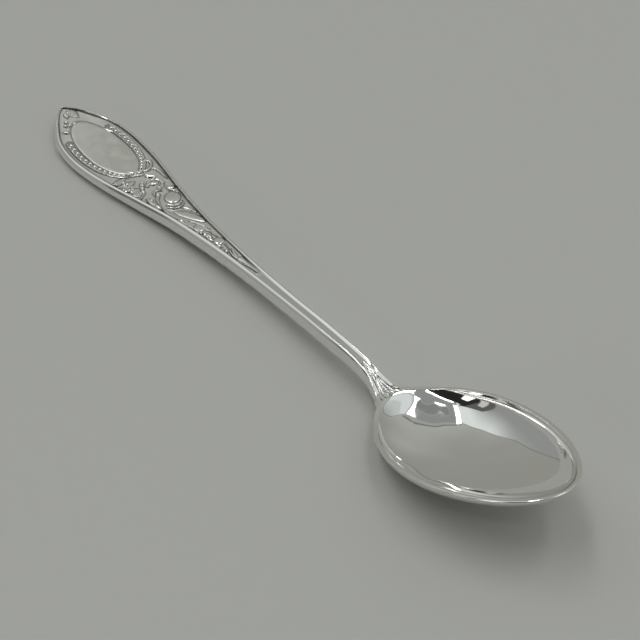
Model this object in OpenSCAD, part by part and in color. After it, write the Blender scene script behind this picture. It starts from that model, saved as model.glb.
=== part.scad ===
// Teaspoon with a pointed oval handle end, a raised thread border and shallow struck ornament.
// The handle tip is at -X, the bowl tip at +X and +Z is up. It lies as it rests on a table.

/* [Whole spoon] */
// Length from the handle tip to the bowl tip
spoon_l = 145; // [125:1:160]
// Highest point of the handle's top face, near the shoulder
arch_h = 6.2; // [5:0.1:8]
// Thickness of the handle where it rests
plate_t = 2.05; // [1.6:0.05:2.6]

/* [Bowl] */
// Length of the bowl seen from above
bowl_l = 42.1; // [36:0.1:48]
// Width of the bowl
bowl_w = 26.5; // [22:0.1:30]
// Depth of the bowl from the rim to the outside of the belly
bowl_depth = 6.75; // [5.5:0.05:9]
// Wall thickness at the bottom of the bowl
bowl_wall = 1.1; // [0.8:0.05:1.6]
// Width of the rim
rim_w = 0.8; // [0.6:0.05:1.6]
// Rounding of the rim's outer edge
rim_round = 0.3; // [0.1:0.05:0.5]
// Rise of the rim from the bowl's middle to its tip
rim_rise = 7.1; // [5:0.1:9]
// Upward sweep of both ends of the rim
rim_sweep = 0.55; // [0:0.05:1]

/* [Neck] */
// How far the stem's top stands over the back of the rim
neck_rise = 0.8; // [0.3:0.05:1.1]
// Length over which it sinks to the rim
neck_l = 5; // [4:0.5:8]

/* [Handle] */
// Widest width of the pointed oval end
blade_w = 15.3; // [12:0.1:18]
// Extra half width of the flank under the stem
flank_w = 0.7; // [0.3:0.05:0.9]
// Width of the raised thread round the end
thread_w = 1.05; // [0.7:0.05:1.4]
// Height of the raised thread
thread_h = 0.42; // [0.25:0.01:0.6]

/* [Ornament] */
// Clearance between the smooth medallion and the beaded bands
medallion_gap = 0.2; // [0.1:0.05:0.5]
// Clearance between the beaded bands and the thread border
band_gap = 0.25; // [0.1:0.05:0.5]
// Height of the smooth medallion
medallion_h = 0.16; // [0.1:0.01:0.3]
// Width of the beaded bands
band_w = 1.3; // [1:0.05:1.5]
// Height of flat ribbons and leaves
ribbon_h = 0.26; // [0.15:0.01:0.4]
// Radius of the small beads
bead_r = 0.36; // [0.25:0.01:0.42]
// Height of the small beads above the field
bead_h = 0.44; // [0.3:0.01:0.6]
// Radius of the large bud
bud_r = 1.3; // [1:0.05:1.5]
// Height of the large bud above the field
bud_h = 0.62; // [0.4:0.01:0.8]
// Width of the leaves
leaf_w = 1.1; // [0.8:0.05:1.3]
// Width of the thin scrolls
scroll_w = 0.5; // [0.3:0.05:0.6]

/* [Part to show] */
// Which sub-part to show

/* [Hidden] */
$fn = 24;
bead_facets = 12;
silver = [0.82, 0.81, 0.79];
// one overrun serves every cut and every upright extrusion
cut_h = 20;
// clearance between the ornament and the thread border
field_gap = 0.05;

// length of the handle and stem, up to the back of the bowl
handle_l = spoon_l - bowl_l;
half_blade = blade_w / 2;

// the handle is drawn through these stations, as shares of its length
station_shares = [0, 0.0155, 0.042, 0.0835, 0.136, 0.1885, 0.25, 0.325, 0.418, 0.525, 0.628,
    0.733, 0.836, 0.943, 1];
// half width of the top face there, as shares of half the blade width
width_shares = [0.085, 0.32, 0.58, 0.875, 1, 0.98, 0.87, 0.66, 0.425, 0.262, 0.17,
    0.135, 0.138, 0.16, 0.33];
// height of the top face there, as shares of the arch
top_shares = [0.468, 0.452, 0.403, 0.347, 0.331, 0.347, 0.412, 0.492, 0.608, 0.72, 0.805,
    0.895, 0.985, 0.955];
// thickness there, as shares of the plate thickness
thick_shares = [0.8, 0.85, 0.9, 0.95, 1, 1.01, 1.12, 1.18, 1.2, 1.2, 1.16, 1.17, 1.2, 1.18, 1];
// extra half width of the flank there, as shares of the flank width
flank_shares = [0.3, 0.4, 0.45, 0.5, 0.5, 0.55, 0.6, 0.7, 0.8, 0.95, 1, 1, 0.9, 0.6, 0.4];
// width of the thread there, as shares of the thread width
thread_shares = [1, 1, 1, 1, 1, 1, 1, 0.95, 0.85, 0.7, 0.58, 0.55, 0.55, 0.6, 0.65];

// the cross-section of the handle: shares of the half width and of the thickness
side_shares = [[1, 0.42], [0.95, 0.78], [0.78, 1]];
// the cross-section of a thread: shares of its width and of its height
ridge_shares = [[0.1, 0.65], [0.32, 1], [0.68, 1], [0.9, 0.65]];

// the bowl outline: harmonic shares of the main half length and half width
along_shares = [0.063, 0.019];
across_shares = [0.052, -0.01];
breadth_share = 0.986;
// how steeply the bowl wall leaves the rim, and how round the belly is
belly_share = 2.3;
wall_share = 0.55;

steps = 56;
ring_steps = 64;
bowl_rings = 11;
// where the plate ends and the stem begins, and how closely the stations crowd at the tip
plate_steps = 40;
crowd_share = 1.35;

function pick(xs, x, i = 0) = (i >= len(xs) - 2 || x < xs[i + 1]) ? i : pick(xs, x, i + 1);
function rate(xs, ys, i) =
    let (a = max(i - 1, 0), b = min(i + 1, len(xs) - 1)) (ys[b] - ys[a]) / (xs[b] - xs[a]);
function ease(xs, ys, x) =
    let (i = pick(xs, x), h = xs[i + 1] - xs[i], t = (x - xs[i]) / h, q = t * t, c = q * t)
    ys[i] * (2 * c - 3 * q + 1) + ys[i + 1] * (3 * q - 2 * c)
        + h * rate(xs, ys, i) * (c - 2 * q + t) + h * rate(xs, ys, i + 1) * (c - q);

// the bowl, before it is lifted onto the table
main_l = bowl_l / 2 / (1 + along_shares[1]);
main_w = bowl_w / 2 * breadth_share;
bowl_mid = spoon_l - main_l * (1 + along_shares[0] + along_shares[1]);
function rim_x(a) =
    bowl_mid + main_l * (cos(a) + along_shares[0] * cos(2 * a) + along_shares[1] * cos(3 * a));
function rim_y(a) =
    main_w * (sin(a) + across_shares[0] * sin(2 * a) + across_shares[1] * sin(3 * a));
function sink(t) = 1 - t * t * (3 - 2 * t);
function rim_z(x) =
    let (u = (x - bowl_mid) / main_l, t = min(max((x - handle_l) / neck_l, 0), 1))
    rim_rise * u + rim_sweep * u * u + neck_rise * sink(t);
function ring(u, inset, depth) = [for (k = [0 : ring_steps - 1])
    let (a = 360 * k / ring_steps,
        x = bowl_mid + (rim_x(a) - bowl_mid) * u * (1 - inset / main_l),
        y = rim_y(a) * u * (1 - inset / main_w))
    [x, y, rim_z(x) - depth]];
function belly(u) = pow(1 - pow(u, belly_share), wall_share);
function shell(inset, depth) = [for (k = [1 : bowl_rings])
    let (u = sin(90 * k / bowl_rings)) ring(u, inset, depth * belly(u))];
outer_rings = shell(0, bowl_depth);
bowl_low = min([for (r = outer_rings) for (p = r) p[2]]);
bowl_lift = -bowl_low;
function lifted(p) = p + [0, 0, bowl_lift];
outer_skin = [for (k = [0 : bowl_rings - 2]) outer_rings[k]];
edge_ring = ring(1, 0, rim_round);
lip_ring = ring(1, rim_round, 0);
inner_rings = shell(rim_w, bowl_depth - bowl_wall);
inner_skin = [for (k = [bowl_rings - 1 : -1 : 0]) inner_rings[k]];

// heights of the handle: it rests on the plate and ends level with the back of the rim
rim_back = rim_z(handle_l) + bowl_lift;
top_table = [for (k = [0 : len(top_shares) - 1]) top_shares[k] * arch_h];
rest_k = 4;
rest_drop = top_table[rest_k] - plate_t * thick_shares[rest_k];
height_table = concat([for (h = top_table) h - rest_drop], [rim_back]);

function share_at(i) = pow(i / steps, crowd_share);
function half_w(u) = half_blade * ease(station_shares, width_shares, u);
function top_z(u) = ease(station_shares, height_table, u);
function thick(u) = plate_t * ease(station_shares, thick_shares, u);
function flank(u) = flank_w * ease(station_shares, flank_shares, u);
tiny_share = 0.002;
function lean(u) =
    let (a = max(u - tiny_share, 0), b = min(u + tiny_share, 1))
    (half_w(b) - half_w(a)) / ((b - a) * handle_l);
function inner_w(u) =
    let (s = lean(u), w = thread_w * ease(station_shares, thread_shares, u))
    max(half_w(u) - w * sqrt(1 + s * s), 0);
function low_z(u) = max(top_z(u) - thick(u), 0);

// height of the top face at a distance from the tip, straight between the stations
top_line = [for (i = [0 : steps]) [share_at(i) * handle_l, top_z(share_at(i))]];
function field_z(x) = lookup(x, top_line);

function section(x, w, f, z, t) = concat([[x, -w, z], [x, w, z]],
    [for (s = side_shares) [x, (w + f) * s[0], z - t * s[1]]],
    [for (k = [len(side_shares) - 1 : -1 : 0])
        [x, -(w + f) * side_shares[k][0], z - t * side_shares[k][1]]]);
function plate_section(u) =
    section(u * handle_l, half_w(u), flank(u), top_z(u), top_z(u) - low_z(u));
function thread_section(u, side) =
    let (x = u * handle_l, z = top_z(u), a = half_w(u), b = inner_w(u))
    concat([[x, side * b, z], [x, side * a, z]],
        [for (s = ridge_shares) [x, side * (a + (b - a) * s[0]), z + thread_h * s[1]]]);

// joins equal rings into one closed solid; the rings run clockwise seen from the first end
module loft(rings) {
    n = len(rings[0]);
    k = len(rings);
    polyhedron(points = [for (r = rings) each r], faces = concat(
        [[for (i = [0 : n - 1]) i]],
        [for (j = [0 : k - 2]) for (i = [0 : n - 1]) each
            [[j * n + i, (j + 1) * n + i, (j + 1) * n + (i + 1) % n],
            [j * n + i, (j + 1) * n + (i + 1) % n, j * n + (i + 1) % n]]],
        [[for (i = [n - 1 : -1 : 0]) (k - 1) * n + i]]));
}

// the same, closed at both ends by a point
module bag(first, rings, last) {
    n = len(rings[0]);
    k = len(rings);
    polyhedron(points = concat([first], [for (r = rings) each r], [last]), faces = concat(
        [for (i = [0 : n - 1]) [0, 1 + i, 1 + (i + 1) % n]],
        [for (j = [0 : k - 2]) for (i = [0 : n - 1]) each
            [[1 + j * n + i, 1 + (j + 1) * n + i, 1 + (j + 1) * n + (i + 1) % n],
            [1 + j * n + i, 1 + (j + 1) * n + (i + 1) % n, 1 + j * n + (i + 1) % n]]],
        [for (i = [0 : n - 1])
            [1 + (k - 1) * n + (i + 1) % n, 1 + (k - 1) * n + i, 1 + k * n]]));
}

// spoon coordinates start at the handle tip, the part is centred on its length
module placed() {
    color(silver) translate([-spoon_l / 2, 0, 0]) children();
}

// the space above the field, inside the thread border
module field_space(h) {
    loft([for (i = [3 : steps])
        let (u = share_at(i), x = u * handle_l, z = top_z(u), w = inner_w(u) - field_gap)
        [[x, -w, z], [x, w, z], [x, w, z + h], [x, -w, z + h]]]);
}

// flat ornament of one height, following the field
module flat_relief(h) {
    intersection() {
        field_space(h);
        linear_extrude(height = cut_h) children();
    }
}

// a place on the handle, from shares of its length and of half its width
function at(p) = [p[0] * handle_l, p[1] * half_blade];

// rounded caps: a ball sunk so that it shows radius r and height h at the field
module caps(shares, r, h, facets = bead_facets) {
    ball = (r * r + h * h) / (2 * h);
    intersection() {
        field_space(bud_h + bead_h);
        union() {
            for (s = shares) {
                p = at(s);
                translate([p[0], p[1], field_z(p[0]) + h - ball]) sphere(ball, $fn = facets);
            }
        }
    }
}

// a smooth path through hand-chosen points
bends = 5;
function path_keys(shares) = [for (k = [0 : len(shares) - 1]) k];
function path_at(shares, t) =
    at([ease(path_keys(shares), [for (s = shares) s[0]], t),
        ease(path_keys(shares), [for (s = shares) s[1]], t)]);
function path_points(shares) =
    let (n = (len(shares) - 1) * bends) [for (i = [0 : n]) path_at(shares, i / bends)];
function side_step(ps, i) =
    let (a = ps[max(i - 1, 0)], b = ps[min(i + 1, len(ps) - 1)], d = (b - a) / norm(b - a))
    [-d[1], d[0]];

// a ribbon along a path; full_share is its width at the ends, against its middle
module stroke(shares, w, full_share) {
    ps = path_points(shares);
    n = len(ps) - 1;
    hw = [for (i = [0 : n])
        w / 2 * (full_share + (1 - full_share) * sin(180 * i / n))];
    polygon(concat(
        [for (i = [0 : n]) ps[i] + side_step(ps, i) * hw[i]],
        [for (i = [n : -1 : 0]) ps[i] - side_step(ps, i) * hw[i]]));
}

// middle of the medallion and of the bands that frame it, as shares
medallion_share = 0.141;
medallion_front_share = 0.104;
medallion_back_share = 0.08;
band_shares = [118, 22];
bead_steps = 13;
medallion_a = handle_l * medallion_front_share;
band_a = medallion_a + medallion_gap + band_w / 2;
band_b = half_blade - thread_w - band_gap - band_w / 2;
medallion_b = band_b - band_w / 2 - medallion_gap;
function band_point(a, off) =
    [medallion_share * handle_l + (band_a + off) * cos(a), (band_b + off) * sin(a)];
function band_angle(k, n) =
    band_shares[0] + (band_shares[1] - band_shares[0]) * k / n;

module bead_band(side) {
    flat_relief(ribbon_h) polygon(concat(
        [for (k = [0 : bead_steps])
            let (p = band_point(band_angle(k, bead_steps), band_w / 2)) [p[0], side * p[1]]],
        [for (k = [bead_steps : -1 : 0])
            let (p = band_point(band_angle(k, bead_steps), -band_w / 2)) [p[0], side * p[1]]]));
    caps([for (k = [0 : bead_steps - 1])
        let (p = band_point(band_angle(k + wall_share / 2, bead_steps), 0))
        [p[0] / handle_l, side * p[1] / half_blade]], bead_r, bead_h);
}

module thread(side) {
    rings = [for (i = [0 : steps]) thread_section(share_at(i), side)];
    loft(side > 0 ? rings : [for (r = rings) [for (k = [len(r) - 1 : -1 : 0]) r[k]]]);
}

// sub-parts

// the bowl: an egg-shaped shell, tilted up toward its tip
module bowl() {
    placed() bag(
        [bowl_mid, 0, bowl_lift + rim_z(bowl_mid) - bowl_depth],
        [for (r = concat(outer_skin, [edge_ring, lip_ring], inner_skin)) [for (p = r) lifted(p)]],
        [bowl_mid, 0, bowl_lift + rim_z(bowl_mid) - bowl_depth + bowl_wall]);
}

// the bowl filled up to its rim, which the stem is cut to
module filled_bowl() {
    bag([bowl_mid, 0, bowl_lift + rim_z(bowl_mid) - bowl_depth],
        [for (r = concat(outer_skin, [edge_ring, lip_ring])) [for (p = r) lifted(p)]],
        [bowl_mid, 0, bowl_lift + rim_z(bowl_mid)]);
}

// the narrow stem, ending against the outside of the bowl
neck_share = 0.14;
neck_thick_share = 0.35;
module stem() {
    end = section(handle_l + bowl_l * neck_share, half_w(1), flank(1), top_z(1),
        plate_t * neck_thick_share);
    placed() difference() {
        loft(concat([for (i = [plate_steps : steps]) plate_section(share_at(i))],
            [end]));
        filled_bowl();
    }
}

// the plate of the handle end, which carries the ornament
module handle_plate() {
    placed() loft([for (i = [0 : plate_steps]) plate_section(share_at(i))]);
}

module thread_left() {
    placed() thread(-1);
}

module thread_right() {
    placed() thread(1);
}

// the smooth medallion
module cartouche() {
    n = 2 * bead_steps;
    placed() flat_relief(medallion_h) polygon([for (k = [0 : n - 1])
        let (a = 360 * k / n, c = cos(a), l = c > 0 ? medallion_a : handle_l * medallion_back_share)
        [medallion_share * handle_l + l * c, medallion_b * sin(a)]]);
}

module bead_band_left() {
    placed() bead_band(-1);
}

module bead_band_right() {
    placed() bead_band(1);
}

// the small shell and beads at the tip
crest_shares = [[0.022, 0.02], [0.03, 0.12], [0.028, -0.08]];
crest_root_shares = [[0.018, 0.08], [0.032, 0], [0.043, -0.14], [0.048, -0.24]];
crest_bead_shares = [[0.036, -0.1], [0.044, -0.22], [0.045, -0.12], [0.04, 0]];
module tip_crest() {
    placed() {
        flat_relief(ribbon_h) stroke(crest_root_shares, bud_r * 1.5, 0.7);
        caps(crest_shares, bud_r * 0.75, ribbon_h + bead_h / 2);
        caps(crest_bead_shares, bead_r * 0.85, bead_h);
    }
}

// the ribbon that ties the bands, with a hooked scroll at one side
tie_shares = [[[0.249, 0.02], [0.258, -0.02], [0.27, 0]], [[0.259, 0.16], [0.261, 0], [0.259, -0.16]]];
hook_shares = [[0.235, 0.68], [0.247, 0.64], [0.257, 0.52], [0.262, 0.38], [0.261, 0.08]];
hook_bead_shares = [[0.235, 0.66], [0.261, 0.01]];
module ribbon_tie() {
    placed() {
        flat_relief(ribbon_h) {
            stroke(tie_shares[0], leaf_w, 0.5);
            stroke(tie_shares[1], leaf_w, 0.6);
            stroke(hook_shares, scroll_w, 0.8);
        }
        caps(hook_bead_shares, bead_r, bead_h);
    }
}

// the fan of scalloped leaves beside the tie
fan_rib_shares = [
    [[0.306, -0.28], [0.284, -0.46], [0.26, -0.62]],
    [[0.308, -0.28], [0.29, -0.46], [0.274, -0.62]],
    [[0.31, -0.28], [0.302, -0.44], [0.292, -0.58]],
    [[0.312, -0.28], [0.314, -0.4], [0.318, -0.52]]];
fan_bead_shares = [[0.268, -0.4], [0.277, -0.37], [0.284, -0.08], [0.291, -0.14],
    [0.298, -0.19], [0.305, -0.25]];
module fan_leaf() {
    placed() {
        flat_relief(ribbon_h) {
            stroke(fan_rib_shares[0], leaf_w, 0.3);
            stroke(fan_rib_shares[1], leaf_w, 0.3);
            stroke(fan_rib_shares[2], leaf_w, 0.3);
            stroke(fan_rib_shares[3], leaf_w, 0.3);
            stroke([fan_bead_shares[2], fan_bead_shares[4], fan_rib_shares[2][0]], scroll_w, 1);
            stroke([fan_bead_shares[0], fan_bead_shares[1], [0.292, -0.34]], scroll_w, 1);
        }
        caps(fan_bead_shares, bead_r * 0.85, bead_h);
    }
}

// the curled flower
flower_shares = [[0.278, 0.14], [0.282, 0.32], [0.296, 0.42], [0.31, 0.36], [0.31, 0.22],
    [0.3, 0.2]];
flower_tail_shares = [[0.31, 0.3], [0.32, 0.2], [0.332, 0.04], [0.338, -0.1]];
flower_bead_shares = [[0.3, 0.24], [0.319, 0.2], [0.333, 0]];
module flower_scrolls() {
    placed() {
        flat_relief(ribbon_h) {
            stroke(flower_shares, scroll_w * 1.3, 0.7);
            stroke(flower_tail_shares, scroll_w * 1.3, 0.5);
        }
        caps(flower_bead_shares, bead_r, bead_h);
    }
}

// the bright curled ridge beside the large bud
curl_shares = [[0.334, -0.34], [0.35, -0.3], [0.364, -0.3], [0.376, -0.36]];
curl_bead_shares = [[0.337, -0.34], [0.349, -0.3], [0.361, -0.3]];
module scroll_ridge() {
    placed() {
        flat_relief(ribbon_h) stroke(curl_shares, leaf_w * 0.8, 0.4);
        caps(curl_bead_shares, bead_r * 0.8, bead_h);
    }
}

// the large bud with its crown and calyx
bud_shares = [[0.361, 0.2]];
crown_shares = [[[0.35, 0.28], [0.342, 0.34], [0.334, 0.4]], [[0.35, 0.22], [0.343, 0.24], [0.336, 0.24]]];
calyx_shares = [[0.366, -0.04], [0.375, 0.08], [0.376, 0.22], [0.37, 0.36]];
module bud_and_calyx() {
    placed() {
        caps(bud_shares, bud_r, bud_h, $fn);
        flat_relief(ribbon_h) {
            stroke(crown_shares[0], leaf_w, 0.4);
            stroke(crown_shares[1], leaf_w * 0.8, 0.4);
            stroke(calyx_shares, leaf_w, 0.5);
        }
    }
}

// the long pointed leaves
long_leaf_shares = [
    [[0.391, -0.06], [0.412, 0], [0.432, 0.1], [0.453, 0.16]],
    [[0.402, -0.03], [0.412, 0.13], [0.426, 0.24]]];
module long_leaves() {
    placed() flat_relief(ribbon_h + medallion_h) {
        stroke(long_leaf_shares[0], leaf_w, 0.15);
        stroke(long_leaf_shares[1], leaf_w * 0.8, 0.15);
    }
}

// the thin stalk and the small bud on it
stalk_shares = [[0.384, -0.26], [0.404, -0.27], [0.424, -0.24], [0.444, -0.15], [0.466, -0.07]];
small_bud_shares = [[0.466, -0.06]];
stalk_bead_shares = [[0.475, -0.16], [0.481, -0.12]];
module stem_buds() {
    placed() {
        flat_relief(ribbon_h) {
            stroke(stalk_shares, scroll_w, 0.8);
            stroke([small_bud_shares[0], stalk_bead_shares[1]], scroll_w, 1);
        }
        caps(small_bud_shares, bud_r * 0.7, bud_h * 0.8, $fn);
        caps(stalk_bead_shares, bead_r * 0.8, bead_h);
    }
}

// the scalloped leaf with a small bud above it
side_leaf_shares = [[0.491, -0.1], [0.508, -0.08], [0.522, 0.0], [0.54, -0.04]];
side_bud_shares = [[0.523, 0.05]];
module side_leaf() {
    placed() {
        flat_relief(ribbon_h) stroke(side_leaf_shares, leaf_w, 0.4);
        caps(side_bud_shares, bud_r * 0.6, bud_h * 0.8, $fn);
    }
}

// the pair of leaves in a V
v_shares = [[[0.551, 0.09], [0.565, 0.06], [0.585, 0]], [[0.551, -0.09], [0.565, -0.06], [0.585, 0]]];
module v_leaves() {
    placed() flat_relief(ribbon_h) {
        stroke(v_shares[0], leaf_w * 0.7, 0.3);
        stroke(v_shares[1], leaf_w * 0.7, 0.3);
    }
}

// the pointed drop that ends the ornament
drop_shares = [[0.591, 0], [0.6, 0], [0.615, 0], [0.632, 0]];
module end_drop() {
    placed() flat_relief(ribbon_h + medallion_h) stroke(drop_shares, leaf_w * 0.9, 0.3);
}

// the leaf on the shoulder, in front of the bowl
shoulder_shares = [
    [[0.93, 0], [0.955, 0], [0.985, 0]],
    [[0.95, 0.02], [0.97, 0.1], [0.985, 0.2]],
    [[0.95, -0.02], [0.97, -0.1], [0.985, -0.2]],
    [[0.944, 0.02], [0.958, 0.08], [0.968, 0.14]],
    [[0.944, -0.02], [0.958, -0.08], [0.968, -0.14]]];
module shoulder_leaf() {
    placed() flat_relief(ribbon_h + medallion_h) {
        stroke(shoulder_shares[0], leaf_w, 0.4);
        stroke(shoulder_shares[1], leaf_w * 0.8, 0.4);
        stroke(shoulder_shares[2], leaf_w * 0.8, 0.4);
        stroke(shoulder_shares[3], leaf_w * 0.6, 0.4);
        stroke(shoulder_shares[4], leaf_w * 0.6, 0.4);
    }
}

bowl();
stem();
handle_plate();
thread_left();
thread_right();
cartouche();
bead_band_left();
bead_band_right();
tip_crest();
ribbon_tie();
fan_leaf();
flower_scrolls();
scroll_ridge();
bud_and_calyx();
long_leaves();
stem_buds();
side_leaf();
v_leaves();
end_drop();
shoulder_leaf();
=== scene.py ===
"""Looks of a polished silver teaspoon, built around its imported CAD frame.

Lengths in the shape classes are in millimetres. A place on the spoon is s, along it from the handle's tip, and
y, across it from its middle line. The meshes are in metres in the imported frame, whose origin lies on the table
under the middle of the spoon's length.
"""

from __future__ import annotations

import logging
import math
from dataclasses import dataclass, field, replace
from enum import Enum
from functools import cache, cached_property
from typing import Callable, Sequence

import bmesh
import bpy
import numpy as np
from mathutils import Matrix, Vector


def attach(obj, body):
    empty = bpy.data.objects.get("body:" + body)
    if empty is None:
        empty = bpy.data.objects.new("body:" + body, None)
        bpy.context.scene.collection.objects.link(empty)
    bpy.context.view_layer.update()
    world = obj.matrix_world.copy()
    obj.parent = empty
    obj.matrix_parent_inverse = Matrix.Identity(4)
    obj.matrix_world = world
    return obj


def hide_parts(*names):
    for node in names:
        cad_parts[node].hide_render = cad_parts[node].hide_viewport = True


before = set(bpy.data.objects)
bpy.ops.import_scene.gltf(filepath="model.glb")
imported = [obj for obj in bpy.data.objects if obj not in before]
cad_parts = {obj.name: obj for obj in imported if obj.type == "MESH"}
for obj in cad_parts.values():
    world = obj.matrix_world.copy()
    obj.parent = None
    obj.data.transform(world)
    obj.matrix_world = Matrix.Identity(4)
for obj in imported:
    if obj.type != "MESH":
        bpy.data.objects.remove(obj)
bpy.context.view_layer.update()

LOG = logging.getLogger("teaspoon")
MM = 0.001
MERGE = 2e-6
BODY = "root"
HOLLOW = "hollow"
FAR_BELOW = -9.0
MARK_REACH = 0.8
Array = np.ndarray
Surface = Callable[[Array, Array], Array]
Colour = tuple[float, float, float]
Spot = tuple[float, float]
Box = tuple[float, float, float, float]
Socket = bpy.types.NodeSocket
Feed = Socket | float | tuple[float, ...] | Vector


class Section(Enum):
    """How a raised stroke is rounded across its width."""

    ROUND = 0.5
    SOFT = 0.8
    FLAT = 0.22


class Taper(Enum):
    """How a raised stroke narrows along its length."""

    EVEN = "even"
    LEAF = "leaf"
    TAIL = "tail"


def ease(xs: Array, ys: Array, x: Array) -> Array:
    """Smooth value between the rows of a table, as the part's source computes it.

    Args:
        xs: Places of the rows, rising.
        ys: Values of the rows.
        x: Places to read.

    Returns:
        The value at each place.
    """
    x = np.asarray(x, float)
    i = np.clip(np.searchsorted(xs, x, side="right") - 1, 0, len(xs) - 2)
    step = xs[i + 1] - xs[i]
    rate = np.gradient(ys, xs)
    rate[1:-1] = (ys[2:] - ys[:-2]) / (xs[2:] - xs[:-2])
    t = (x - xs[i]) / step
    q, c = t * t, t * t * t
    return (ys[i] * (2 * c - 3 * q + 1) + ys[i + 1] * (3 * q - 2 * c)
            + step * rate[i] * (c - 2 * q + t) + step * rate[i + 1] * (c - q))


def smooth_step(t: Array) -> Array:
    """A smooth rise from 0 to 1 as t goes from 0 to 1."""
    t = np.clip(t, 0, 1)
    return t * t * (3 - 2 * t)


def smooth_low(a: Array, b: Array | float, blend: float) -> Array:
    """The lower of two values, rounded where they meet."""
    h = np.clip(blend - np.abs(a - b), 0, None) / blend
    return np.minimum(a, b) - h * h * blend / 4


def bell(distance: Array, width: Array | float) -> Array:
    """1 at no distance, falling smoothly to 0 over about twice the width."""
    return np.exp(-np.square(distance / width))


@dataclass(frozen=True)
class SpoonForm:
    """The spoon's sizes and its smooth forms, in millimetres from the handle tip."""

    spoon_l: float = 145.0
    arch_h: float = 6.2
    plate_t: float = 2.05
    bowl_l: float = 42.1
    bowl_w: float = 26.5
    bowl_depth: float = 6.75
    rim_w: float = 0.8
    rim_rise: float = 7.1
    rim_sweep: float = 0.55
    blade_w: float = 15.3
    flank_w: float = 0.7
    thread_w: float = 1.05
    thread_h: float = 0.42
    stations: tuple[float, ...] = (0, 0.0155, 0.042, 0.0835, 0.136, 0.1885, 0.25, 0.325, 0.418, 0.525, 0.628,
                                   0.733, 0.836, 0.943, 1)
    widths: tuple[float, ...] = (0.085, 0.32, 0.58, 0.875, 1, 0.98, 0.87, 0.66, 0.425, 0.262, 0.17,
                                 0.135, 0.138, 0.16, 0.33)
    widest: int = 4
    tops: tuple[float, ...] = (0.468, 0.452, 0.403, 0.347, 0.331, 0.347, 0.412, 0.492, 0.608, 0.72, 0.805,
                               0.895, 0.985, 0.955)
    thicks: tuple[float, ...] = (0.8, 0.85, 0.9, 0.95, 1, 1.01, 1.12, 1.18, 1.2, 1.2, 1.16, 1.17, 1.2, 1.18, 1)
    flanks: tuple[float, ...] = (0.3, 0.4, 0.45, 0.5, 0.5, 0.55, 0.6, 0.7, 0.8, 0.95, 1, 1, 0.9, 0.6, 0.4)
    threads: tuple[float, ...] = (0.6, 0.62, 0.64, 0.64, 0.64, 0.64, 0.64, 0.62, 0.6, 0.57, 0.55, 0.54, 0.54,
                                  0.55, 0.6)
    along: Spot = (0.063, 0.019)
    across: Spot = (0.052, -0.01)
    breadth: float = 0.986
    belly_power: float = 2.3
    wall_power: float = 0.55
    neck_rise: float = 0.8
    neck_l: float = 5.0
    valley: float = 1.6
    valley_reach: float = 6.0
    valley_hold: float = 3.0
    grid: float = 0.05
    lean_step: float = 0.2
    neck_start: float = 94.0
    neck: tuple[Spot, ...] = ((92.0, 1.01), (94.0, 1.04), (96.0, 1.1), (97.5, 1.14), (98.6, 1.2), (100.0, 1.42),
                              (101.4, 1.8), (102.4, 2.2), (103.2, 2.75), (104.0, 3.4), (104.8, 4.3),
                              (105.6, 5.35), (106.8, 6.7), (108.9, 8.55))
    neck_join: tuple[float, ...] = (110.8, 112.4, 114.0)

    @property
    def handle_l(self) -> float:
        """Length of the handle and stem, up to the back of the bowl."""
        return self.spoon_l - self.bowl_l

    @property
    def main_l(self) -> float:
        """Main half length of the bowl's outline."""
        return self.bowl_l / 2 / (1 + self.along[1])

    @property
    def main_w(self) -> float:
        """Main half width of the bowl's outline."""
        return self.bowl_w / 2 * self.breadth

    @property
    def bowl_mid(self) -> float:
        """Where the bowl's rings are centred."""
        return self.spoon_l - self.main_l * (1 + self.along[0] + self.along[1])

    def rim(self, a: Array) -> tuple[Array, Array]:
        """Plan of the rim.

        Args:
            a: Angles round the bowl's middle, in radians.

        Returns:
            The places along and across at each angle.
        """
        x = np.cos(a) + self.along[0] * np.cos(2 * a) + self.along[1] * np.cos(3 * a)
        y = np.sin(a) + self.across[0] * np.sin(2 * a) + self.across[1] * np.sin(3 * a)
        return self.bowl_mid + self.main_l * x, self.main_w * y

    def rim_slope(self, x: Array) -> Array:
        """Height of the rim over its middle, with the neck's rise at the back.

        Args:
            x: Places along the spoon.

        Returns:
            The height at each place.
        """
        u = (x - self.bowl_mid) / self.main_l
        neck = 1 - smooth_step((x - self.handle_l) / self.neck_l)
        return self.rim_rise * u + self.rim_sweep * u * u + self.neck_rise * neck

    @cached_property
    def lift(self) -> float:
        """How far the bowl is lifted so that its belly rests on the table.

        Returns:
            The height of the rim's middle.
        """
        u, a = np.linspace(0, 1, 801)[:, None], np.linspace(0, 2 * math.pi, 181)[None]
        x = self.bowl_mid + (self.rim(a)[0] - self.bowl_mid) * u
        return float(-(self.rim_slope(x) - self.bowl_depth * self.belly(u)).min())

    def rim_z(self, x: Array) -> Array:
        """Height of the rim above the table at a place along the spoon."""
        return self.rim_slope(x) + self.lift

    def belly(self, u: Array) -> Array:
        """Depth at a share u of the way from the bowl's middle to its rim, as a share of the full depth."""
        return np.power(np.clip(1 - np.power(u, self.belly_power), 0, 1), self.wall_power)

    def table(self, rows: Sequence[float], s: Array) -> Array:
        """Eased value of one of the handle's tables at s."""
        return ease(np.array(self.stations, float), np.array(rows, float), np.clip(s / self.handle_l, 0, 1))

    def egg_half_w(self, s: float) -> float:
        """Half width of the bowl's egg-shaped outline at s, near its back."""
        x, y = self.rim(np.linspace(math.pi, math.pi * 0.6, 400))
        return float(np.interp(s, x, y))

    @cached_property
    def neck_table(self) -> tuple[Array, Array]:
        """Half widths from the end of the stem to the bowl, as places and values."""
        rows = list(self.neck) + [(s, self.egg_half_w(s)) for s in self.neck_join]
        return np.array([r[0] for r in rows]), np.array([r[1] for r in rows])

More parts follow.
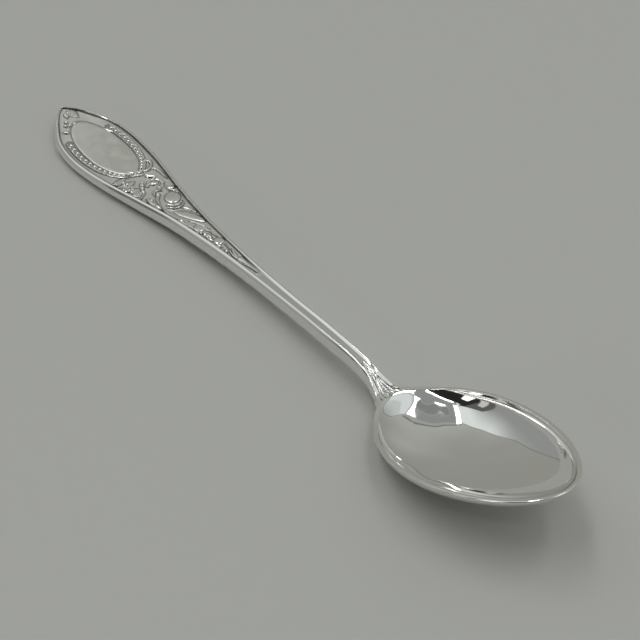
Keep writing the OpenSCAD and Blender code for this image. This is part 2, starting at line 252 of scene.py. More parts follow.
    def half_w(self, s: Array) -> Array:
        """Half width of the handle's top face, and of the neck that joins it to the bowl.

        Args:
            s: Places along the spoon.

        Returns:
            The half width at each place.
        """
        s = np.asarray(s, float)
        places, values = self.neck_table
        stem = self.blade_w / 2 * self.table(self.widths, np.minimum(s, self.neck_start))
        return np.where(s > self.neck_start, ease(places, values, np.maximum(s, self.neck_start)), stem)

    @cached_property
    def top_table(self) -> tuple[Array, Array]:
        """Heights of the top along the whole spoon, with the valley at the neck rounded.

        Returns:
            The places and their heights.
        """
        heights = [t * self.arch_h for t in self.tops]
        drop = heights[self.widest] - self.plate_t * self.thicks[self.widest]
        back = float(self.rim_z(np.array(self.handle_l)))
        places = np.arange(0, self.spoon_l, self.grid)
        raw = self.table([h - drop for h in heights] + [back], places)
        raw = np.where(places > self.handle_l, self.rim_z(places), raw)
        kernel = np.hanning(2 * int(self.valley / self.grid) + 1)
        soft = np.convolve(raw, kernel / kernel.sum(), "same")
        near = np.clip(1 - np.abs(places - self.handle_l) / self.valley_reach, 0, 1)
        return places, raw + (soft - raw) * np.clip(near * self.valley_hold, 0, 1)

    def top_z(self, s: Array) -> Array:
        """Height of the top at s: the handle's top face, then the rim."""
        return np.interp(s, *self.top_table)

    def thick(self, s: Array) -> Array:
        """Thickness of the handle."""
        return self.plate_t * self.table(self.thicks, s)

    def flank(self, s: Array) -> Array:
        """Extra half width of the flank under the top face."""
        return self.flank_w * self.table(self.flanks, s)

    def inner_w(self, s: Array) -> Array:
        """Half width of the field inside the thread border.

        Args:
            s: Places along the spoon.

        Returns:
            The half width at each place.
        """
        s = np.asarray(s, float)
        a, b = np.clip(s - self.lean_step, 0, None), np.clip(s + self.lean_step, None, self.handle_l)
        lean = (self.half_w(b) - self.half_w(a)) / (b - a)
        thread = self.thread_w * self.table(self.threads, s) * np.sqrt(1 + lean * lean)
        return np.clip(self.half_w(s) - thread, 0, None)

    def place(self, points: Array) -> Array:
        """Spoon points in millimetres as packed-frame points in metres."""
        return (np.array(points, float) - (self.spoon_l / 2, 0, 0)) * MM

    def unplace(self, points: Array) -> Array:
        """Packed-frame points in metres as spoon points in millimetres."""
        return np.array(points, float) / MM + (self.spoon_l / 2, 0, 0)


FORM = SpoonForm()


class NodePen:
    """Adds nodes to one tree, each wired as it is made."""

    def __init__(self, tree: bpy.types.NodeTree) -> None:
        """Starts on a tree."""
        self.tree = tree

    def feed(self, socket: Socket, value: Feed) -> None:
        """Links another socket into a socket, or sets a number or colour on it.

        Args:
            socket: The input.
            value: What goes into it.
        """
        if isinstance(value, Socket):
            self.tree.links.new(value, socket)
        else:
            socket.default_value = value

    def add(self, kind: str, settings: dict[str, str | bool] | None = None, **feeds: Feed) -> bpy.types.Node:
        """Adds a node.

        Args:
            kind: Its type, without the word ShaderNode.
            settings: Its own settings.
            **feeds: What goes into its inputs, by their names, with _ for a space.

        Returns:
            The node.
        """
        node = self.tree.nodes.new("ShaderNode" + kind)
        for name, value in (settings or {}).items():
            setattr(node, name, value)
        for name, value in feeds.items():
            self.feed(node.inputs[name.replace("_", " ")], value)
        return node

    def math(self, operation: str, *values: Feed, clamp: bool = False) -> Socket:
        """Adds a Math node.

        Args:
            operation: What it does.
            *values: Its inputs.
            clamp: Whether its result stays between 0 and 1.

        Returns:
            Its result.
        """
        node = self.add("Math", {"operation": operation, "use_clamp": clamp})
        for socket, value in zip(node.inputs, values):
            self.feed(socket, value)
        return node.outputs[0]

    def mix(self, under: Feed, colour: Feed, mask: Feed) -> Socket:
        """Lays a colour over another, by a mask.

        Args:
            under: The colour underneath.
            colour: The colour on top.
            mask: 1 where the top colour shows.

        Returns:
            The mixed colour.
        """
        under, colour = ((*c, 1) if isinstance(c, tuple) else c for c in (under, colour))
        return self.add("Mix", {"data_type": "RGBA"}, A=under, B=colour, Factor=mask).outputs["Result"]


@dataclass(frozen=True)
class Relief:
    """Fine unevenness of a surface: how often it repeats in a metre, how strong and how deep it is."""

    scale: float
    strength: float
    depth: float


@dataclass(frozen=True)
class SilverFinish:
    """One finish of the silver: how bright, how polished, and how dark in its hollows, where tarnish and painted
    shade lie.
    """

    name: str
    tone: Colour = (0.88, 0.87, 0.84)
    tarnish_and_shade: Colour = (0.055, 0.052, 0.045)
    polish: float = 0.07
    wear: float = 0.10
    scratches: float = 0.05
    surface: Relief = Relief(90.0, 0.0, 0.0004)
    cloud_scale: float = 420.0
    cloud_share: float = 0.5
    tarnish_and_shade_base: float = 0.72
    wear_range: Spot = (0.35, 0.75)
    tarnish_rough: float = 0.35
    scratch_turn: float = 0.35
    scratch_scale: tuple[float, float, float] = (260.0, 5200.0, 5200.0)
    scratch_depth: float = 0.00002

    @cache
    def material(self) -> bpy.types.Material:
        """Builds the node material of this finish, once.

        Returns:
            The material.
        """
        mat = bpy.data.materials.new(self.name)
        mat.use_nodes = True
        mat.node_tree.nodes.clear()
        pen = NodePen(mat.node_tree)
        place = pen.add("TexCoord").outputs["Object"]
        # The hollow attribute mixes the tone toward the hollows' dark colour: tarnish together with painted shade,
        # laid like ambient occlusion.
        hollow = pen.add("Attribute", {"attribute_name": HOLLOW}).outputs["Fac"]
        clouds = pen.add("TexNoise", Vector=place, Scale=self.cloud_scale, Detail=5.0).outputs["Fac"]
        uneven = pen.math("MULTIPLY_ADD", clouds, self.cloud_share, self.tarnish_and_shade_base)
        dark = pen.math("MULTIPLY", hollow, uneven, clamp=True)
        haze = pen.add("MapRange", Value=clouds, From_Min=self.wear_range[0], From_Max=self.wear_range[1],
                       To_Min=self.polish, To_Max=self.polish + self.wear).outputs["Result"]
        turned = pen.add("Mapping", Vector=place, Rotation=(0.0, 0.0, self.scratch_turn), Scale=self.scratch_scale)
        lines = pen.add("TexNoise", Vector=turned.outputs["Vector"], Scale=1.0, Detail=3.0)
        scratch = pen.add("Bump", Strength=self.scratches, Distance=self.scratch_depth,
                          Height=lines.outputs["Fac"])
        pits = pen.add("TexNoise", Vector=place, Scale=self.surface.scale, Detail=2.0)
        relief = pen.add("Bump", Strength=self.surface.strength, Distance=self.surface.depth,
                         Height=pits.outputs["Fac"], Normal=scratch.outputs["Normal"])
        shader = pen.add("BsdfPrincipled", Metallic=1.0, Base_Color=pen.mix(self.tone, self.tarnish_and_shade, dark),
                         Roughness=pen.math("MULTIPLY_ADD", dark, self.tarnish_rough, haze, clamp=True),
                         Normal=relief.outputs["Normal"])
        pen.add("OutputMaterial", Surface=shader.outputs["BSDF"])
        return mat


BOWL_MIRROR = SilverFinish("bowl_mirror", polish=0.035, wear=0.05, scratches=0.03,
                           surface=Relief(90.0, 0.05, 0.0004))
STEM_POLISH = SilverFinish("stem_polish", polish=0.08, scratches=0.08)
THREAD_POLISH = SilverFinish("thread_polish", polish=0.08, wear=0.08)
FIELD_SATIN = SilverFinish("field_satin", tone=(0.90, 0.89, 0.85), polish=0.24, wear=0.12,
                           surface=Relief(5200.0, 0.06, 0.00006))
MEDALLION_WARM = SilverFinish("medallion_warm", tone=(0.765, 0.76, 0.715), polish=0.34, wear=0.14, scratches=0.04)
RELIEF_BRIGHT = SilverFinish("relief_bright", polish=0.10)


def curve_points(keys: Sequence[Spot], per_span: int = 8) -> Array:
    """A smooth path through given points.

    Args:
        keys: Points (along, across) in millimetres.
        per_span: Pieces between two neighbouring points.

    Returns:
        The path's points.
    """
    k = np.array(keys, float)
    if len(k) == 2:
        t = np.linspace(0, 1, per_span + 1)[:, None]
        return k[0] * (1 - t) + k[1] * t
    i = np.arange(len(k), dtype=float)
    t = np.linspace(0, len(k) - 1, (len(k) - 1) * per_span + 1)
    return np.stack([ease(i, k[:, 0], t), ease(i, k[:, 1], t)], -1)


@dataclass(frozen=True)
class Dome:
    """A rounded bead or bud."""

    s: float
    y: float
    r: float
    h: float
    stretch: float = 1.0
    turn: float = 0.0

    def box(self) -> Box:
        """Plan box (low s, low y, high s, high y)."""
        r = self.r * max(self.stretch, 1.0)
        return self.s - r, self.y - r, self.s + r, self.y + r

    def height(self, s: Array, y: Array) -> Array:
        """Height above the field, falling below it outside the bead.

        Args:
            s: Places along the spoon.
            y: Places across it.

        Returns:
            The height at each place.
        """
        c, n = math.cos(math.radians(self.turn)), math.sin(math.radians(self.turn))
        ds, dy = s - self.s, y - self.y
        a, b = (ds * c + dy * n) / self.stretch, dy * c - ds * n
        q = np.sqrt(a * a + b * b) / self.r
        return np.where(q < 1, self.h * np.sqrt(np.clip(1 - q * q, 0, 1)), -(q - 1) * self.r)


@dataclass(frozen=True)
class Stroke:
    """A raised line, scroll or leaf along a path."""

    keys: tuple[Spot, ...]
    w: float
    h: float
    taper: Taper = Taper.EVEN
    section: Section = Section.ROUND
    vein: float = 0.0
    ribs: int = 0
    vein_w: float = 0.13
    rib_depth: float = 0.25
    rib_pinch: float = 0.6
    leaf_foot: float = 0.12
    leaf_curve: float = 0.8
    tail_loss: float = 0.82

    def box(self) -> Box:
        """Plan box (low s, low y, high s, high y)."""
        p = curve_points(self.keys)
        return (p[:, 0].min() - self.w, p[:, 1].min() - self.w, p[:, 0].max() + self.w, p[:, 1].max() + self.w)

    def half_width(self, t: Array) -> Array:
        """Half width along the stroke.

        Args:
            t: Shares of its length.

        Returns:
            The half width at each share.
        """
        if self.taper is Taper.LEAF:
            full = np.power(np.clip(np.sin(math.pi * np.power(t, self.leaf_curve)), 0, 1), self.leaf_curve)
            return self.w / 2 * (self.leaf_foot + (1 - self.leaf_foot) * full)
        if self.taper is Taper.TAIL:
            return self.w / 2 * (1 - self.tail_loss * t)
        return np.full_like(t, self.w / 2)

    def height(self, s: Array, y: Array) -> Array:
        """Height above the field, falling below it outside the stroke.

        Args:
            s: Places along the spoon.
            y: Places across it.

        Returns:
            The height at each place.
        """
        p = curve_points(self.keys)
        best, where = np.full(s.shape, np.inf), np.zeros(s.shape)
        n = len(p) - 1
        for k in range(n):
            a, d = p[k], p[k + 1] - p[k]
            t = np.clip(((s - a[0]) * d[0] + (y - a[1]) * d[1]) / max(float(d @ d), 1e-12), 0, 1)
            dist = np.hypot(s - a[0] - t * d[0], y - a[1] - t * d[1])
            near = dist < best
            best = np.where(near, dist, best)
            where = np.where(near, (k + t) / n, where)
        w = self.half_width(where)
        notch = np.abs(np.sin(math.pi * self.ribs * where))
        w = w * (1 - self.rib_depth * self.rib_pinch * notch)
        q = best / w
        rise = self.h * np.power(np.clip(1 - q * q, 0, 1), self.section.value)
        rise = rise * (1 - self.vein * bell(best, self.vein_w)) * (1 - self.rib_depth * np.square(notch))
        return np.where(q < 1, rise, -(best - w))


@dataclass(frozen=True)
class Oval:
    """The flat, softly edged oval of the medallion."""

    s: float
    back: float
    front: float
    half: float
    h: float
    crown: float = 0.05
    edge_soft: float = 0.12

    def box(self) -> Box:
        """Plan box (low s, low y, high s, high y)."""
        return self.s - self.back, -self.half, self.s + self.front, self.half

    def height(self, s: Array, y: Array) -> Array:
        """Height above the field, falling below it outside the oval.

        Args:
            s: Places along the spoon.
            y: Places across it.

        Returns:
            The height at each place.
        """
        a = np.where(s > self.s, self.front, self.back)
        q = np.sqrt(np.square((s - self.s) / a) + np.square(y / self.half))
        edge = (1 - q) * self.half
        return np.where(q < 1, self.h * (1 - np.exp(-edge / self.edge_soft)) + self.crown * (1 - q * q), edge)


Mark = Dome | Stroke | Oval


@dataclass(frozen=True)
class Motif:
    """One struck motif: its CAD node, marks, finish and mesh pitch, and how high up its painted shade and tarnish
    reach.
    """

    node: str
    marks: tuple[Mark, ...]
    finish: SilverFinish = RELIEF_BRIGHT
    pitch: float = 0.05
    dark_h: float = 0.12

    def height(self, s: Array, y: Array) -> Array:
        """Highest of the marks.

        Args:
            s: Places along the spoon.
            y: Places across it.

        Returns:
            The height above the field at each place.
        """
        total = np.full(s.shape, FAR_BELOW)
        for mark in self.marks:
            low_s, low_y, high_s, high_y = mark.box()
            near = ((s > low_s - MARK_REACH) & (s < high_s + MARK_REACH)
                    & (y > low_y - MARK_REACH) & (y < high_y + MARK_REACH))
            if near.any():
                total[near] = np.maximum(total[near], mark.height(s[near], y[near]))
        return total


@dataclass(frozen=True)
class BandRing:
    """The oval round the medallion on which the beaded bands and the punched dots lie."""

    mid: float = 15.2
    half_s: float = 11.3
    half_y: float = 5.42

    def points(self, side: int, start: float, end: float, count: int, out_s: float,
               out_y: float) -> tuple[Spot, ...]:
        """Points along one side of the oval, or of one that is a little larger.

        Args:
            side: 1 for the right side, -1 for the left one.
            start: Angle of the first point, in degrees from the oval's front.
            end: Angle of the last point.
            count: How many points there are.
            out_s: How much further out they lie along the spoon.
            out_y: How much further out they lie across it.

        Returns:
            The points (along, across).
        """
        turns = [math.radians(a) for a in np.linspace(start, end, count)]
        return tuple((self.mid + (self.half_s + out_s) * math.cos(a), side * (self.half_y + out_y) * math.sin(a))
                     for a in turns)


RING = BandRing()


def beads(r: float, h: float, *spots: Spot) -> tuple[Dome, ...]:
    """Round beads of one size."""
    return tuple(Dome(s, y, r, h) for s, y in spots)


def leaf(w: float, h: float, *keys: Spot, vein: float = 0.0, ribs: int = 0) -> Stroke:
    """A narrow rounded leaf along a path."""
    return Stroke(keys, w, h, Taper.LEAF, vein=vein, ribs=ribs)


def soft_leaf(w: float, h: float, *keys: Spot, vein: float = 0.0, ribs: int = 0) -> Stroke:
    """A broad, softly rounded leaf along a path."""
    return Stroke(keys, w, h, Taper.LEAF, Section.SOFT, vein, ribs)


def mirrored(*strokes: Stroke) -> tuple[Stroke, ...]:
    """Strokes and their mirror images on the other side of the spoon's middle line."""
    return strokes + tuple(replace(k, keys=tuple((s, -y) for s, y in k.keys)) for k in strokes)


def bead_band(side: int) -> tuple[Mark, ...]:
    """The beaded band along one side of the medallion.

    Args:
        side: 1 for the right band, -1 for the left one.

    Returns:
        The band's marks: a low strip, a bright outer wire and a row of beads.
    """
    strip = Stroke(RING.points(side, 116, 20, 20, 0.1, 0.0), 1.5, 0.12, section=Section.FLAT)
    wire = Stroke(RING.points(side, 116, 20, 20, 0.75, 0.62), 0.34, 0.3)
    return strip, wire, *beads(0.46, 0.52, *RING.points(side, 112, 24, 13, 0.05, -0.05))


ORNAMENT: tuple[Motif, ...] = (
    Motif("cartouche", (Oval(16.0, 10.6, 10.0, 4.5, 0.16),), MEDALLION_WARM, 0.08, 0.03),
    Motif("bead_band_left", bead_band(-1), dark_h=0.24),
    Motif("bead_band_right", (*bead_band(1), leaf(0.75, 0.34, (10.3, 3.7), (12.4, 4.55))), dark_h=0.24),
    Motif("tip_crest", (
        soft_leaf(2.2, 0.13, (1.6, 0.3), (2.6, 0.9), (4.2, 1.3)),
        leaf(1.2, 0.34, (1.9, -0.2), (2.6, -0.5), (3.4, -0.9)),
        Dome(4.3, -1.75, 0.36, 0.42), *beads(0.34, 0.4, (5.2, -2.5), (5.5, -1.75)),
        Dome(5.6, -0.5, 0.4, 0.42), Dome(6.9, -3.5, 0.36, 0.36, 1.7, 60.0),
    )),
    Motif("ribbon_tie", (
        leaf(0.7, 0.34, (24.9, -0.9), (25.9, -0.2), (26.6, 0.9), (26.5, 2.0)),
        leaf(0.7, 0.3, (26.9, -1.2), (26.8, -0.2), (27.4, 0.6), (27.6, 1.4)),
        Stroke(((26.2, 0.9), (26.9, 2.4), (26.5, 3.7), (25.5, 4.6), (24.5, 4.9), (24.2, 4.4)), 0.62, 0.36),
        Dome(24.7, 4.5, 0.42, 0.5), *beads(0.3, 0.4, (24.0, 3.3), (24.8, 2.75), (25.6, 2.1), (26.3, 1.5)),
    )),
    Motif("fan_leaf", (
        soft_leaf(1.5, 0.15, (26.5, -2.6), (26.6, -4.2), (26.4, -5.5), vein=0.1),
        soft_leaf(1.6, 0.16, (28.4, -1.6), (28.4, -3.4), (28.0, -5.2), vein=0.1),
        soft_leaf(1.5, 0.15, (31.4, -2.4), (30.6, -3.4), (29.6, -4.9), vein=0.1),
        soft_leaf(2.0, 0.18, (32.3, -2.5), (32.0, -3.6), (31.9, -4.5)),
        Dome(27.0, -5.1, 0.36, 0.5), Dome(27.6, -3.7, 0.4, 0.56), Dome(28.5, -3.35, 0.5, 0.58),
        Dome(29.4, -4.9, 0.34, 0.5), Dome(30.3, -4.2, 0.4, 0.55), Dome(29.9, -3.2, 0.3, 0.5),
        leaf(0.9, 0.2, (29.5, -0.5), (30.6, -1.3), (32.5, -2.4)),
        *beads(0.34, 0.48, (29.9, -0.8), (30.7, -1.3), (31.5, -1.8), (32.3, -2.25)),
        Stroke(((32.6, -2.2), (33.4, -3.2), (34.0, -4.2)), 0.5, 0.3, Taper.TAIL),
    )),
    Motif("flower_scrolls", (
        leaf(0.6, 0.32, (27.2, 3.3), (27.4, 4.1), (28.5, 4.4), (30.4, 4.3), (31.6, 4.2)),
        soft_leaf(1.1, 0.48, (28.3, 1.2), (29.0, 1.9), (30.0, 2.5)),
        Stroke(((31.3, -0.5), (30.4, 0.5), (30.2, 1.6), (31.0, 2.5), (32.2, 2.7)), 0.62, 0.36),
        Dome(31.3, 1.1, 0.62, 0.4, 1.4, 60.0),
        soft_leaf(0.9, 0.34, (32.3, 2.5), (33.0, 1.9), (33.5, 1.0)),
        leaf(0.6, 0.34, (34.8, -1.2), (33.9, -0.7), (33.7, 0.1), (34.3, 0.9)),
        Stroke(((35.0, -0.5), (36.1, -1.5), (37.3, -2.0), (38.4, -2.3)), 0.9, 0.34, Taper.TAIL),
        *beads(0.42, 0.56, (33.3, 1.0), (35.0, -0.5)),
    )),
    Motif("scroll_ridge", (
        leaf(0.95, 0.46, (34.7, -2.9), (36.2, -3.1), (37.9, -2.95), (39.4, -2.75)),
        Dome(34.8, -2.9, 0.34, 0.46), Dome(35.7, -2.6, 0.32, 0.46), Dome(38.1, -2.9, 0.5, 0.56, 1.9, 5.0),
    )),
    Motif("bud_and_calyx", (
        Dome(37.4, 1.3, 1.6, 0.32, 1.12, -35.0),
        leaf(0.42, 0.34, (35.1, 2.0), (35.7, 2.8), (36.9, 3.1)),
        Dome(34.5, 2.9, 0.62, 0.4, 1.3, 60.0),
        Stroke(((38.9, -1.0), (39.8, -0.2), (40.0, 0.9), (39.4, 2.1)), 0.44, 0.4),
        leaf(0.4, 0.36, (39.6, -1.5), (40.6, -0.5), (40.9, 0.7), (40.2, 2.1)),
    )),
    Motif("long_leaves", (
        soft_leaf(1.9, 0.16, (41.3, -1.2), (42.9, -0.3), (44.8, 0.7), (46.6, 1.35), (47.6, 1.5), vein=0.12),
        soft_leaf(0.8, 0.3, (41.4, 0.8), (42.6, 1.6), (44.2, 2.0)),
        leaf(0.5, 0.28, (45.4, -0.8), (46.8, -0.1), (48.9, 0.7), (50.0, 0.9)),
    )),
    Motif("stem_buds", (
        leaf(0.5, 0.3, (38.8, -2.3), (40.6, -2.5), (42.4, -2.3), (44.4, -2.15)),
        Dome(44.6, -2.0, 0.42, 0.52, 1.7, 10.0),
        Stroke(((45.0, -2.0), (46.6, -1.8), (47.6, -1.5)), 0.4, 0.26),
        *beads(0.26, 0.4, (46.9, -1.75), (47.8, -1.6)), Dome(48.5, -0.45, 1.15, 0.26),
        Dome(49.3, -1.5, 0.36, 0.5), Dome(50.1, -1.25, 0.34, 0.5),
        Stroke(((49.6, 0.2), (51.0, 0.45), (52.8, 0.6)), 0.6, 0.46, Taper.TAIL),
    )),
    Motif("side_leaf", (
        soft_leaf(1.3, 0.34, (50.6, -0.9), (51.6, -0.6), (52.4, -0.3), ribs=2),
        leaf(0.9, 0.36, (51.4, -1.0), (52.6, -0.9), (53.8, -0.9), ribs=2),
        Dome(51.2, -1.2, 0.28, 0.42), Dome(54.0, 0.05, 1.05, 0.26),
        Dome(55.3, -0.95, 0.36, 0.5, 1.9, 12.0),
        Stroke(((54.8, 0.6), (56.0, 0.4), (57.4, 0.1)), 0.4, 0.3, Taper.TAIL),
    )),
    Motif("v_leaves", (
        leaf(0.6, 0.34, (60.4, -0.35), (58.9, 0.1), (57.4, 0.45)),
        leaf(0.5, 0.34, (60.6, -0.5), (59.2, -0.5), (57.6, -0.25)),
        Dome(57.4, -0.75, 0.3, 0.44, 1.8, 5.0),
    )),
    Motif("end_drop", (
        Stroke(((60.9, 0.0), (62.0, 0.0), (63.6, 0.0), (65.9, 0.0)), 1.5, 0.42, Taper.TAIL, Section.SOFT),
    )),
    Motif("shoulder_leaf", (
        soft_leaf(1.0, 0.4, (96.0, 0.0), (98.0, 0.0), (100.6, 0.0), vein=0.4),
        soft_leaf(0.7, 0.36, (99.8, 0.0), (101.8, 0.0), (104.1, 0.0)),
        *mirrored(
            soft_leaf(0.8, 0.4, (98.0, 0.2), (99.6, 0.8), (101.0, 1.4), vein=0.2),
            soft_leaf(0.8, 0.36, (99.4, 0.3), (101.0, 0.9), (102.6, 1.5), (103.9, 2.1)),
            leaf(0.6, 0.34, (100.2, 0.2), (101.8, 0.6), (104.0, 1.15)),
        ),
    )),
)

def ornament_height(s: Array, y: Array) -> Array:
    """Height of all the ornament at each point; negative values are the distance to the nearest mark."""
    return np.max([motif.height(s, y) for motif in ORNAMENT], axis=0)


class MeshMaker:
    """Turns bmesh sheets and lofts into finished pieces."""

    @staticmethod
    def sheet(nu: int, nv: int, surface: Surface) -> bmesh.types.BMesh:
        """A grid laid over a surface, with its seams merged.

        Args:
            nu: Squares along the first direction.
            nv: Squares along the second direction.
            surface: Gives the points, in millimetres, of shares u and v.

        Returns:
            The bmesh, in metres.
        """
        bm = bmesh.new()
        bmesh.ops.create_grid(bm, x_segments=nu, y_segments=nv, size=0.5)
        uv = np.array([v.co[:2] for v in bm.verts]) + 0.5
        for v, p in zip(bm.verts, FORM.place(surface(uv[:, 0], uv[:, 1]))):
            v.co = p
        bmesh.ops.remove_doubles(bm, verts=bm.verts, dist=MERGE)
        return bm

    @staticmethod
    def close(bm: bmesh.types.BMesh) -> None:
        """Closes open ends and points the faces outwards.

        Args:
            bm: The mesh that is closed.
        """
        rim = [e for e in bm.edges if e.is_boundary]
        if rim:
            bmesh.ops.holes_fill(bm, edges=rim, sides=0)
        bmesh.ops.recalc_face_normals(bm, faces=bm.faces)

    @staticmethod
    def piece(name: str, bm: bmesh.types.BMesh, finish: SilverFinish, node: str,
              hollow: Callable[[Array], Array] | None = None, crease: float = 40.0) -> bpy.types.Object:
        """Makes the finished object of a bmesh.

        Args:
            name: Name of the piece.
            bm: The mesh, in metres; it is freed.
            finish: The finish that it gets.
            node: The CAD node that it stands for.
            hollow: Gives, for points in millimetres, how far each lies in a hollow darkened with tarnish and
                painted shade, 0 to 1.
            crease: Edges sharper than this many degrees stay sharp.

        Returns:
            The object, riding on the spoon's body.
        """
        mesh = bpy.data.meshes.new(name)
        bm.to_mesh(mesh)
        bm.free()
        co = np.empty(len(mesh.vertices) * 3)
        mesh.vertices.foreach_get("co", co)
        points = FORM.unplace(co.reshape(-1, 3))
        values = np.zeros(len(points)) if hollow is None else np.clip(hollow(points), 0, 1)
        mesh.attributes.new(HOLLOW, "FLOAT", "POINT").data.foreach_set("value", values.astype(np.float32))
        mesh.materials.append(finish.material())
        obj = bpy.data.objects.new(name, mesh)
        bpy.context.scene.collection.objects.link(obj)
        mesh.shade_smooth()
        mesh.set_sharp_from_angle(angle=math.radians(crease))
        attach(obj, BODY)
        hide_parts(node)
        LOG.info("%s: %d faces", name, len(mesh.polygons))
        return obj


@dataclass
class Bowl:
    """The egg-shaped bowl, whose back flows over the rim into the stem. Angles are turns from its back."""

    columns: int = 420
    under: int = 44
    inside: int = 84
    corner: int = 6
    level: int = 10
    evenness: float = 0.25
    outline_cells: int = 1500
    edge_tries: tuple[float, float, int] = (1e-5, 0.4, 300)
    cap: float = 98.0
    cap_cells: int = 12
    outline_step: float = 0.02
    outer_round: float = 0.3
    inner_round: float = 0.2
    least_round: float = 0.002
    back_round_loss: float = 0.6
    back_radius: float = 18.9
    back_until: float = 1.2
    back_blend: float = 0.6
    back_ramp: Spot = (0.12, 0.85)
    back_powers: Spot = (0.9, 0.45)
    web_share: float = 0.94
    web_round: float = 0.25
    web_ramp: Spot = (103.0, 4.5)
    web_blend: float = 0.5
    pinch: float = 0.5
    pinch_at: float = 0.366
    pinch_wide: float = 0.19
    hollow_h: float = 5.748
    powers: tuple[float, ...] = (2.623, 0.189, -0.299, 0.069, -0.039, -0.07, -0.096)
    bends: tuple[float, ...] = (0.669, 0.196, 0.177, 0.138, 0.089, 0.039, 0.019)
    tables: dict[str, Array] = field(default_factory=dict)

    def __post_init__(self) -> None:
        """Works out the rim's radius, outside and inside, at each angle from the back."""
        f, join = FORM, FORM.neck_join[0]
        s = np.arange(self.cap, join, self.outline_step)
        w = f.half_w(s)
        x, y = f.rim(np.linspace(math.pi, 0, self.outline_cells))
        egg = (y > f.half_w(np.array(join))) | (x > f.bowl_mid)
        grow = np.stack([np.gradient(x), np.gradient(y)], -1)
        grow /= np.linalg.norm(grow, axis=1)[:, None]
        turn_to_cap = math.atan2(float(w[0]), f.bowl_mid - self.cap)
        flat = np.linspace(0, turn_to_cap, self.cap_cells)[:-1]
        curves = {
            "outer": (np.concatenate([s, x[egg]]), np.concatenate([w, y[egg]])),
            "inner": (x + f.rim_w * grow[:, 1], np.clip(y - f.rim_w * grow[:, 0], 0, None)),
        }
        for name, (cx, cy) in curves.items():
            turn = np.arctan2(cy, f.bowl_mid - cx)
            radius = np.hypot(cy, f.bowl_mid - cx)
            if name == "outer":
                turn = np.concatenate([flat, turn])
                radius = np.concatenate([(f.bowl_mid - self.cap) / np.cos(flat), radius])
            order = np.argsort(turn)
            self.tables[name + "_turn"], self.tables[name] = turn[order], radius[order]

    def rim_radius(self, turn: Array) -> Array:
        """Radius of the outline, with the neck, at an angle from the back."""
        return np.interp(turn, self.tables["outer_turn"], self.tables["outer"])

    def belly_radius(self, turn: Array) -> Array:
        """Radius of the outside of the belly's top edge."""
        return np.where(turn > self.back_until, self.rim_radius(turn),
                        smooth_low(self.rim_radius(turn), self.back_radius + FORM.rim_w, self.back_blend))

    def inner_radius(self, turn: Array) -> Array:
        """Radius of the edge of the hollow, drawn in a little where the outline turns into the neck."""
        radius = np.interp(turn, self.tables["inner_turn"], self.tables["inner"])
        return radius - self.pinch * bell(turn - self.pinch_at, self.pinch_wide)

    def backness(self, turn: Array) -> Array:
        """1 toward the stem, 0 from a third of the way round."""
        return 1 - smooth_step((turn - self.back_ramp[0]) / self.back_ramp[1])

    def hollow_shape(self, turn: Array) -> tuple[Array, Array]:
        """The two exponents of the hollow's profile at an angle from the back, each an even wave series."""
        power, bend = (sum(c * np.cos(k * turn) for k, c in enumerate(rows)) for rows in (self.powers, self.bends))
        return power, bend

    def inner_depth(self, radius: Array, turn: Array) -> Array:
        """Depth of the hollow under the rim.

        Args:
            radius: Distances from the bowl's middle.
            turn: Angles from its back.

        Returns:
            The depth at each place.
        """
        power, bend = self.hollow_shape(turn)
        u = np.clip(radius / self.inner_radius(turn), 0, 1)
        return self.hollow_h * np.power(1 - np.power(u, power), bend)

    def outer_depth(self, radius: Array, turn: Array) -> Array:
        """Depth of the underside under the rim, with the web that joins it to the stem.

        Args:
            radius: Distances from the bowl's middle.
            turn: Angles from its back.

        Returns:
            The depth at each place.
        """
        f, back = FORM, self.backness(turn)
        u = np.clip(radius / self.belly_radius(turn), 0, 1)
        power, wall = (p + more * back for p, more in zip((f.belly_power, f.wall_power), self.back_powers))
        belly = f.bowl_depth * np.power(1 - np.power(u, power), wall)
        s = f.bowl_mid - radius * np.cos(turn)
        room = np.clip(f.half_w(s) - radius * np.sin(turn), 0, None)
        fade = 1 - smooth_step((s - self.web_ramp[0]) / self.web_ramp[1])
        web = self.web_share * f.thick(s) * (1 - np.exp(-room / self.web_round)) * fade
        return -smooth_low(-belly, -web, self.web_blend)

    def column(self, turn: Array) -> tuple[Array, Array]:
        """The shell's section from the belly's middle over the rim to the hollow's middle.

        Args:
            turn: Angles from the back.

        Returns:
            Radii and depths, a row for each angle.
        """
        turn = turn[:, None]
        rim, hollow, back = self.rim_radius(turn), self.inner_radius(turn), self.backness(turn)
        ro = self.outer_round * (1 - self.back_round_loss * back)
        ri = self.inner_round * (1 - back) + self.least_round
        tries = 1 - np.geomspace(*self.edge_tries)[None]
        deep = self.outer_depth(tries * rim, turn)
        edge = tries[0][np.argmax(deep > ro, axis=1)][:, None]
        under = edge * np.sin(math.pi / 2 * np.linspace(0, 1, self.under + 1))[None]
        arc = np.linspace(0, math.pi / 2, self.corner + 1)[None]
        level = np.linspace(0, 1, self.level + 1)[None, 1:]
        power, bend = self.hollow_shape(turn)
        top = np.power(1 - np.power(ri / self.hollow_h, 1 / bend), 1 / power)
        inside = top * np.sin(math.pi / 2 * np.linspace(1, 0, self.inside + 1))[None]
        radii = [under * rim, rim - ro * (1 - np.cos(arc)), (rim - ro) + (hollow + ri - rim + ro) * level,
                 hollow + ri * (1 - np.sin(arc)), inside * hollow]
        depths = [self.outer_depth(radii[0], turn), ro * (1 - np.sin(arc)), np.zeros_like(radii[2]),
                  ri * (1 - np.cos(arc)), self.inner_depth(radii[4], turn)]
        return np.concatenate(radii, 1), np.concatenate(depths, 1)

    def build(self) -> bpy.types.Object:
        """Builds the bowl.

        Returns:
            The bowl's object.
        """
        f = FORM
        share = np.linspace(-1, 1, self.columns + 1)
        turn = math.pi * (self.evenness * share + (1 - self.evenness) * share ** 3)
        radii, depths = self.column(np.abs(turn))
        rows = radii.shape[1]

